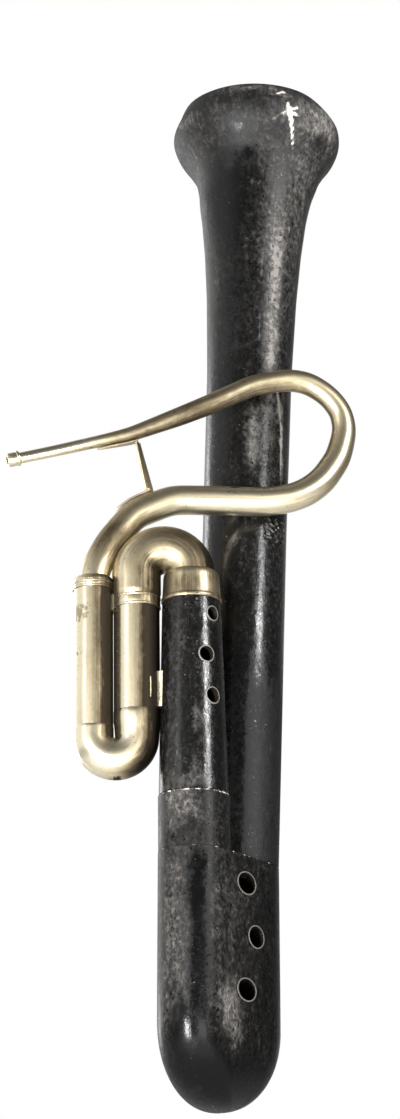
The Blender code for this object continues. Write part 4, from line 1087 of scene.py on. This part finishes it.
spacer_low = 0.2015 - 0.0063
spacer = web(
    "leg_web", up_x, up_r + gap, lambda z: down_r + 0.0011, 0.0160, spacer_low, 0.2078, right_x=down_x
)
polished(spacer, 0.85, 0.10)
piece_of("leg_web", spacer, old_brass, "wing", ["leg_spacer"])
stay_low = low_bow_z + 0.0225
stay = web("stay_web", down_x, down_r + gap, lambda z: wing_radius(z) + gap, 0.0210, stay_low, stay_low + 0.0287)
polished(stay, 0.80, 0.10)
piece_of("stay_web", stay, old_brass, "wing", ["wing_stay"])

share = np.linspace(0.0, 2.0 * np.pi, 72, endpoint=False)
round_x = np.sign(np.cos(share)) * np.abs(np.cos(share)) ** 0.35
round_z = np.sign(np.sin(share)) * np.abs(np.sin(share)) ** 0.35
foot_rows = []
for reach, lift in ((0.0, 0.0), (0.97, 0.0), (1.0, 0.0002), (1.0, 0.0005), (0.97, 0.0007), (0.0, 0.0007)):
    turn = np.radians(-60.0) + np.arcsin(np.clip((0.0016 + 0.0005 * reach * round_x) / 0.0176, 0.0, 1.0))
    radius = down_r + gap + lift
    level = stay_low + 0.01435 + 0.0085 * reach * round_z
    foot_rows.append(np.stack([down_x + radius * np.cos(turn), radius * np.sin(turn), level], -1))
mesh = skin("stay_foot", carried(wing_axis, np.array(foot_rows)), wrap=False)
polished(mesh, 0.60, 0.10)
piece_of("stay_foot", mesh, old_brass, "wing")

# Crook: one conical tube rolled from sheet, filled, bent into a loop and polished. Its tenon is
# lapped with thread, and a short sleeve at its other end takes the mouthpiece.
crook_turn = math.radians(12.9)
socket = Matrix.Translation((up_x, 0.0, socket_top)) @ Matrix.Rotation(crook_turn, 4, "Z")
crook_axis = wing_axis @ socket
mouthpipe_r = 0.0045
crook_points = np.array(
    [
        (0.0000, -0.0260, crook_tenon_r),
        (0.0000, -0.0080, crook_tenon_r),
        (0.0000, 0.0010, crook_tenon_r),
        (0.0030, 0.0110, 0.0120),
        (0.0136, 0.0316, 0.0120),
        (0.0334, 0.0564, 0.0121),
        (0.0648, 0.0711, 0.0121),
        (0.1000, 0.0731, 0.0121),
        (0.1409, 0.0747, 0.0119),
        (0.1621, 0.0785, 0.0117),
        (0.1783, 0.0856, 0.0118),
        (0.1927, 0.0976, 0.0116),
        (0.2062, 0.1181, 0.0110),
        (0.2128, 0.1426, 0.0100),
        (0.2101, 0.1595, 0.0095),
        (0.1992, 0.1733, 0.0093),
        (0.1822, 0.1834, 0.0094),
        (0.1649, 0.1850, 0.0093),
        (0.1346, 0.1775, 0.0087),
        (0.1015, 0.1594, 0.0084),
        (0.0722, 0.1449, 0.0078),
        (0.0303, 0.1255, 0.0059),
        (0.0054, 0.1180, 0.0049),
        (-0.0357, 0.1054, 0.0046),
        (-0.0560, 0.0995, mouthpipe_r),
        (-0.0705, 0.0953, mouthpipe_r),
    ]
)


def smooth_line(points, step, ease):
    """Even steps along the broken line, each averaged with its neighbours within about ease."""
    lengths = np.concatenate([[0.0], np.cumsum(np.linalg.norm(np.diff(points[:, :2], axis=0), axis=1))])
    even = np.linspace(0.0, lengths[-1], int(lengths[-1] / step))
    line = np.stack([np.interp(even, lengths, points[:, k]) for k in range(3)], -1)
    reach = int(3.0 * ease / step)
    weights = np.exp(-0.5 * (np.arange(-reach, reach + 1) * step / ease) ** 2)
    weights /= weights.sum()
    before = 2.0 * line[0] - line[1 : reach + 1][::-1]
    after = 2.0 * line[-1] - line[-reach - 1 : -1][::-1]
    padded = np.concatenate([before, line, after])
    padded[:reach, 2] = line[0, 2]
    padded[-reach:, 2] = line[-1, 2]
    return np.stack([np.convolve(padded[:, k], weights, "valid") for k in range(3)], -1)


crook_path = smooth_line(crook_points, 0.002, 0.006)
crook = tube("crook_tube", crook_path, brass_wall, crook_axis, 72)
# Some of these changes are painted light: the brighter spot at the mouthpipe end and the brighter length along the
# lower run are painted highlights, and the darker length along the upper run is painted shade.
polished(
    crook,
    0.64,
    0.10,
    (
        (-0.092, 0.454, 0.024, -0.36),
        (-0.082, 0.478, 0.010, -0.10),
        (-0.145, 0.518, 0.050, 0.34),
        (0.090, 0.548, 0.015, -0.18),
        (0.117, 0.552, 0.011, 0.14),
    ),
    lengths=((0.460, 0.100, -0.26), (0.190, 0.055, 0.16)),
)
piece_of("crook_tube", crook, old_brass, "crook", ["crook"])
lapping("crook_lapping", crook_axis, 0.0123, 0.0138, -0.0220, -socket_height / 2.0, "crook", "crook_tenon_lapping")

slope = math.atan2(0.0953 - 0.11803, 0.0705 + 0.00532)
tip = Matrix.Translation((-0.0705, 0.0, 0.0953)) @ Matrix.Rotation(slope + math.radians(90.0), 4, "Y")
sleeve_low = 0.0005
sleeve_high = sleeve_low + 0.0095
profile = np.concatenate(
    [
        [[mouthpipe_r + gap, sleeve_low], [0.0054, sleeve_low], [0.0056, sleeve_low + 0.0003]],
        [[0.0056, sleeve_high - 0.0026]],
        bead(0.0056, sleeve_high - 0.0013, 0.0007, 0.0012),
        [[0.0056, sleeve_high], [mouthpipe_r + gap, sleeve_high]],
    ]
)
sleeve = turned("mouth_end", profile, crook_axis @ tip, 64)
polished(sleeve, 0.75, 0.0)
piece_of("mouth_end", sleeve, old_brass, "crook", ["mouth_sleeve"])

# Stay of the crook: one strip of brass bent to both runs and soldered flat along its two feet,
# which end in rounded points.
strap_depth = 0.0016
strap_half = 0.0054


def beside(points, start, length):
    """Stations of the crook's line from x = start over a length towards -X, moved off the tube."""
    along = np.gradient(points[:, :2], axis=0)
    along /= np.linalg.norm(along, axis=1)[:, None]
    off = points[:, 2:3] + 2.0 * gap + strap_depth / 2.0
    moved = points[:, :2] + np.stack([-along[:, 1], along[:, 0]], -1) * off
    chosen = moved[(points[:, 0] <= start) & (points[:, 0] >= start - length)]
    return chosen[np.argsort(-chosen[:, 0])]


top = int(np.argmax(crook_path[:, 1]))
upper = beside(crook_path[top:], 0.0350, 0.0350)
lower = beside(crook_path[:top], 0.0530, 0.0245)
upper_half = 0.8 * strap_half * np.sqrt(np.linspace(0.02, 1.0, len(upper)))
lower_half = strap_half * np.sqrt(np.linspace(1.0, 0.04, len(lower)))
line = np.concatenate(
    [np.column_stack([upper[::-1], upper_half]), np.column_stack([lower, lower_half])]
)
line = smooth_line(line, 0.0005, 0.0010)
along = np.gradient(line[:, :2], axis=0)
along /= np.linalg.norm(along, axis=1)[:, None]
turn = np.linspace(0.0, 2.0 * np.pi, 32, endpoint=False)
wide = np.sign(np.cos(turn)) * np.abs(np.cos(turn)) ** 0.25
deep = np.sign(np.sin(turn)) * np.abs(np.sin(turn)) ** 0.7 * strap_depth / 2.0
normal = np.stack([-along[:, 1], np.zeros(len(line)), along[:, 0]], -1)
centre = np.stack([line[:, 0], np.zeros(len(line)), line[:, 1]], -1)
upright = np.clip((np.abs(along[:, 1]) - 0.80) / 0.15, 0.0, 1.0)
down = np.clip((upper[0, 1] - line[:, 1]) / (upper[0, 1] - lower[0, 1]), 0.0, 1.0)
twist = upright * np.radians(38.0 + 14.0 * down)
sideways = np.array([0.0, 1.0, 0.0])
across_strip = normal * np.sin(twist)[:, None] + sideways * np.cos(twist)[:, None]
through = normal * np.cos(twist)[:, None] - sideways * np.sin(twist)[:, None]
half = line[:, 2] * (1.0 - 0.05 * upright)
rings = centre[:, None] + through[:, None] * deep[:, None] + across_strip[:, None] * wide[:, None] * half[:, None, None]
rings[0] = centre[0]
rings[-1] = centre[-1]
strap = skin("crook_strap", carried(crook_axis, rings), 60.0, wrap=False)
polished(strap, 0.60, 0.10)
piece_of("crook_strap", strap, old_brass, "crook", ["crook_stay"])

# Bell joint: a long walnut tube turned to a flare with a rounded lip, bored from end to end, and
# standing in the butt on a lapped tenon. Its bare wood shows at the mouth, as a flat ring.
bell_lean = math.atan(0.068)
bell_foot = butt_plane @ Vector((bore_spacing, 0.0, shoulder))
bell_axis = Matrix.Translation(bell_foot) @ Matrix.Rotation(bell_lean, 4, across)
stem_r = 0.0348
throat_r = 0.0420
throat_z = 0.5550
widest_r = 0.0740
widest_z = 0.6690
rim_r = 0.0672
mouth_r = 0.0560
rim_wood = 0.0050
bell_height = 0.6905
bell_wall = 0.0085
bell_bore_r = 0.0225
bell_tenon_r = 0.0280
bell_tenon_end = gap - 0.0420


def bell_outline():
    """(radius, height): an even stem, a flare, a lip that closes in again, and the flat rim inwards."""
    swell = throat_r - stem_r
    stem = [(stem_r, -0.003), (stem_r + 0.02 * swell, 0.52 * throat_z), (stem_r + 0.20 * swell, 0.79 * throat_z)]
    stem += [(stem_r + 0.57 * swell, 0.92 * throat_z), (throat_r, throat_z)]
    growth = ((0.30, 0.115), (0.53, 0.25), (0.70, 0.43), (0.83, 0.69), (0.91, 0.885))
    flare = [(throat_r + (widest_r - throat_r) * g, throat_z + (widest_z - throat_z) * s) for s, g in growth]
    angle = np.radians(np.linspace(0.0, 90.0, 14))
    drawn_in = (widest_r - rim_r) * (1.0 - np.cos(angle))
    lip = np.stack([widest_r - drawn_in, widest_z + (bell_height - widest_z) * np.sin(angle)], -1)
    return np.concatenate([stem, flare, lip, [[mouth_r + rim_wood + gap, bell_height]]])


def inward(line, distance):
    """The line moved inwards, each point along its own normal."""
    along = np.gradient(line, axis=0)
    along /= np.linalg.norm(along, axis=1)[:, None]
    return line + np.stack([-along[:, 1], along[:, 0]], -1) * distance


def knocked(rings):
    """The rings of a turned piece with the lip's flattened and swollen places pressed in, in metres."""
    radius = np.hypot(rings[..., 0], rings[..., 1])
    angle = np.degrees(np.arctan2(rings[..., 1], rings[..., 0]))
    angle = np.where(angle > 90.0, angle - 360.0, angle)
    change = patches(
        angle.ravel(),
        rings[..., 2].ravel(),
        (
            (-172.0, 0.683, 22.0, 0.009, -0.0028),
            (-172.0, 0.636, 40.0, 0.024, -0.0026),
            (-26.0, 0.690, 24.0, 0.009, -0.0030),
            (-12.0, 0.630, 24.0, 0.022, 0.0016),
        ),
    )
    rings[..., :2] *= (1.0 + change.reshape(radius.shape) / radius)[..., None]
    return rings


points = bell_outline()
eased = smooth_line(np.column_stack([points, np.zeros(len(points))]), 0.0015, 0.003)[:, :2]
eased[:, 1] = np.minimum(eased[:, 1], bell_height)
under = inward(eased, leather_depth + gap)[::4]
bored = inward(eased, bell_wall)
flared = bored[(bored[:, 1] > 0.50) & (bored[:, 1] < 0.665) & (bored[:, 0] < mouth_r)]
profile = np.concatenate(
    [
        [[mouth_r + rim_wood, bell_height], [mouth_r + rim_wood, bell_height - leather_depth - gap]],
        under[::-1][3:],
        [[bell_tenon_r - gap, -0.003], [bell_tenon_r - gap, bell_tenon_end], [bell_bore_r, bell_tenon_end]],
        [[stem_r - bell_wall, 0.52 * throat_z]],
        flared[::3],
        [[mouth_r, widest_z], [mouth_r, bell_height]],
    ]
)
rings = knocked(turned_rings(profile, 128, bell_axis, shoulder + gap))
wood = drilled(skin("bell_wood", carried(bell_axis, rings)), "bell_wood", holes[:1])
rim_walnut = grained("walnut of the rim", (0.018, 0.011, 0.006), (0.070, 0.042, 0.023), 55.0, 0.08, 0.50)
piece_of("bell_wood", wood, rim_walnut, "bell", ["bell_joint"])
lapping(
    "bell_lapping",
    bell_axis,
    bell_tenon_r,
    bell_tenon_r + 0.0010,
    bell_tenon_end + 0.004,
    gap - 0.006,
    "bell",
    "bell_tenon_lapping",
    holes[:1],
)

# Cover of the bell joint: black leather drawn over the flare and the lip while wet, and sewn down
# the back. Hands have polished its stem; the flare is rubbed through to grey in clouds and spots.
# A star of pale marks and a thin pale line on the lip are painted highlights, two pale patches on the
# stem's right side are grey wear and partly painted sheen, and the stem is painted darker at its foot
# and on its left front as painted shade.
bell_skin = leather("bell leather", bell_axis.to_3x3() @ Vector((0, 0, 1)), 0.35, 0.42, 1.36)
stem_rows = eased[eased[:, 1] < 0.54][::2]
flare_rows = eased[eased[:, 1] >= 0.54]
outer = np.concatenate([stem_rows, flare_rows])
inner = inward(eased, leather_depth)[::8]
rings = turned_rings(np.concatenate([outer, inner[::-1]]), 192, bell_axis, shoulder + gap)
count = len(outer)
angle = np.arctan2(rings[:count, :, 1], rings[:count, :, 0])
lift = seam(angle, 0.036, 0.008, 0.0006) * (rings[:count, :, 2] < 0.66) / np.maximum(outer[:, :1], 0.03)
rings[:count, :, :2] *= (1.0 + lift)[..., None]
cover = skin("bell_cover", carried(bell_axis, knocked(rings)))
x, y, z = points_in(cover, bell_axis).T
angle = np.degrees(np.arctan2(y, x))
radius = np.hypot(x, y)
# The stem is made darker towards its foot, below 0.22 m, as painted shade.
grey = 0.29 + 0.09 * np.clip((z - 0.60) / 0.03, 0.0, 1.0) - 0.18 * np.clip((0.22 - z) / 0.06, 0.0, 1.0)
grey = grey + patches(
    angle,
    z,
    (
        (-124.0, 0.589, 26.0, 0.040, -0.42),
        (-104.0, 0.620, 14.0, 0.016, -0.22),
        (-60.0, 0.600, 24.0, 0.060, 0.20),
        (-30.0, 0.620, 18.0, 0.160, 0.10),
        (-30.0, 0.560, 22.0, 0.090, 0.16),
        # This patch and the one at -64 degrees are grey wear and partly a painted sheen of the right lamp.
        (-60.0, 0.470, 13.0, 0.080, 0.58),
        (-42.0, 0.396, 7.0, 0.012, 0.45),
        (-37.5, 0.368, 4.5, 0.022, 0.48),
        (-34.0, 0.343, 4.0, 0.016, 0.40),
        (-64.0, 0.550, 16.0, 0.040, 0.28),
        (-107.5, 0.6489, 7.0, 0.005, -0.45),
        (-95.8, 0.6287, 6.0, 0.005, -0.40),
        (-31.9, 0.6519, 9.0, 0.007, -0.40),
        (-93.7, 0.6834, 26.0, 0.005, 0.32),
        # The next thin pale line along the lip is a painted highlight.
        (-75.0, 0.6765, 10.0, 0.0012, 0.30),
        (-150.0, 0.6677, 16.0, 0.006, 0.35),
        (-40.0, 0.668, 28.0, 0.020, 0.36),
        (-84.0, 0.362, 10.0, 0.030, 0.46),
        (-82.0, 0.3447, 8.0, 0.010, 0.20),
        (-60.5, 0.4378, 6.0, 0.006, 0.30),
        (-58.5, 0.400, 5.0, 0.014, 0.22),
        # The next two patches darken the stem's left front, behind the brass and the wing joint, as painted shade.
        (-118.0, 0.520, 20.0, 0.050, -0.12),
        (-118.0, 0.300, 22.0, 0.220, -0.12),
        (-30.0, 0.300, 22.0, 0.260, 0.04),
        (-150.0, 0.500, 16.0, 0.080, 0.22),
    ),
)
# The star of pale marks near the lip is a painted highlight, laid on as bare pale leather.
painted_star_highlight = scratches(
    angle * 0.60,
    z * 500.0,
    (
        ((-40.7, 332.2), (-33.9, 318.6), 0.95, 1.6),
        ((-40.7, 332.2), (-42.0, 335.6), 0.80, 1.5),
        ((-40.4, 332.0), (-36.4, 334.4), 0.80, 1.3),
        ((-40.2, 331.6), (-36.3, 330.8), 0.90, 1.4),
        ((-41.0, 331.8), (-47.5, 327.2), 1.00, 0.6),
        ((-43.4, 340.2), (-48.1, 337.8), 0.50, 1.1),
        ((-43.4, 340.2), (-40.6, 338.6), 0.50, 1.0),
    ),
)
lines = scratches(
    angle * 0.60,
    z * 1000.0,
    (
        ((-47.0, 515.0), (-47.0, 551.0), 0.45, 0.45),
        ((-47.4, 455.0), (-47.0, 485.0), 0.45, 0.35),
        ((-27.0, 400.0), (-22.7, 367.5), 1.0, 0.80),
        ((-22.7, 367.5), (-22.2, 330.0), 1.0, 0.75),
        ((-27.0, 400.0), (-33.0, 425.0), 1.2, 0.80),
        ((-94.3, 640.0), (-94.3, 653.0), 0.8, 0.5),
        ((-56.1, 601.0), (-56.1, 606.0), 0.9, 0.5),
        ((-26.9, 563.0), (-26.9, 568.0), 0.9, 0.5),
    ),
)
keep(cover, "rubbed", grey + 0.8 * painted_star_highlight + lines)
dull = 0.22 * np.clip((z - 0.42) / 0.03, 0.0, 1.0) + 0.30 * np.clip((z - 0.60) / 0.04, 0.0, 1.0)
right_side = np.clip((angle + 84.0) / 8.0, 0.0, 1.0)
keep(cover, "dull", dull + (0.30 + 0.60 * right_side) * np.clip((0.19 - z) / 0.06, 0.0, 1.0))
keep(cover, "chipped", 0.95 * painted_star_highlight + 0.30 * lines + 0.20 * (radius < rim_r - 0.001) * (z > bell_height - 0.0006))
piece_of("bell_cover", cover, bell_skin, "bell", ["bell_joint_leather"])

# Pad on the bell joint: a scrap of soft leather glued where the crook comes close, creased and
# curling at its edges.
def closed_patch(name, high, low):
    """A patch whose upper and lower sides, two grids alike, are joined round their edge."""
    rows, columns = high.shape[:2]
    top = np.arange(rows * columns).reshape(rows, columns)
    base = top + rows * columns
    upper = np.stack([top[:-1, :-1], top[:-1, 1:], top[1:, 1:], top[1:, :-1]], -1).reshape(-1, 4)
    lower = np.stack([base[:-1, :-1], base[1:, :-1], base[1:, 1:], base[:-1, 1:]], -1).reshape(-1, 4)
    loop = np.concatenate([top[0, :-1], top[:-1, -1], top[-1, :0:-1], top[:0:-1, 0]])
    rim = np.stack([loop, loop + rows * columns, np.roll(loop, -1) + rows * columns, np.roll(loop, -1)], -1)
    mesh = bpy.data.meshes.new(name)
    points = np.concatenate([high.reshape(-1, 3), low.reshape(-1, 3)])
    faces = np.concatenate([upper, lower, rim])
    mesh.from_pydata(carried(bell_axis @ pad_turn, points).tolist(), [], faces.tolist())
    work = bmesh.new()
    work.from_mesh(mesh)
    bmesh.ops.recalc_face_normals(work, faces=work.faces)
    work.to_mesh(mesh)
    work.free()
    mesh.shade_smooth()
    mesh.set_sharp_from_angle(angle=math.radians(60.0))
    return mesh


pad_turn = Matrix.Rotation(math.radians(-44.0), 4, "Z")
pad_in = stem_r + 0.0001 + gap
across_pad = np.linspace(-1.0, 1.0, 72)
up_pad = np.linspace(-1.0, 1.0, 66)
u, v = np.meshgrid(across_pad, up_pad)
wander = 0.03 * np.sin(9.0 * v + 1.0) + 0.02 * np.sin(17.0 * v)
ends = 0.03 * np.sin(8.0 * u + 2.0) + 0.025 * np.sin(15.0 * u + 1.0)
y = 0.0128 * (u * (0.94 + wander))
z = 0.2830 + 0.0116 * (v * (0.93 + ends))
folds = 1.0 - np.abs(np.sin(5.1 * u + 3.2 * v + 1.4 * np.sin(3.0 * v)))
folds = folds + 0.7 * (1.0 - np.abs(np.sin(2.3 * u - 6.4 * v + 1.1 * np.sin(4.0 * u))))
edge = np.clip((1.0 - np.maximum(np.abs(u), np.abs(v))) / 0.10, 0.0, 1.0)
height = 0.0002 + 0.0010 * np.sqrt(edge) + 0.00055 * (folds - 0.6) * edge
high = np.stack([np.sqrt((pad_in + height) ** 2 - y**2), y, z], -1)
flat = np.stack([np.sqrt(pad_in**2 - y**2), y, z], -1)
pad = closed_patch("crook_scrap", high, flat)
count = u.size
keep(pad, "rubbed", np.concatenate([(0.30 + 0.35 * (folds - 0.5)).ravel(), np.full(count, 0.3)]))
keep(pad, "chipped", np.concatenate([(0.30 * (edge < 0.5)).ravel(), np.zeros(count)]))
pad = piece_of("crook_scrap", pad, bell_skin, "bell", ["crook_pad"])
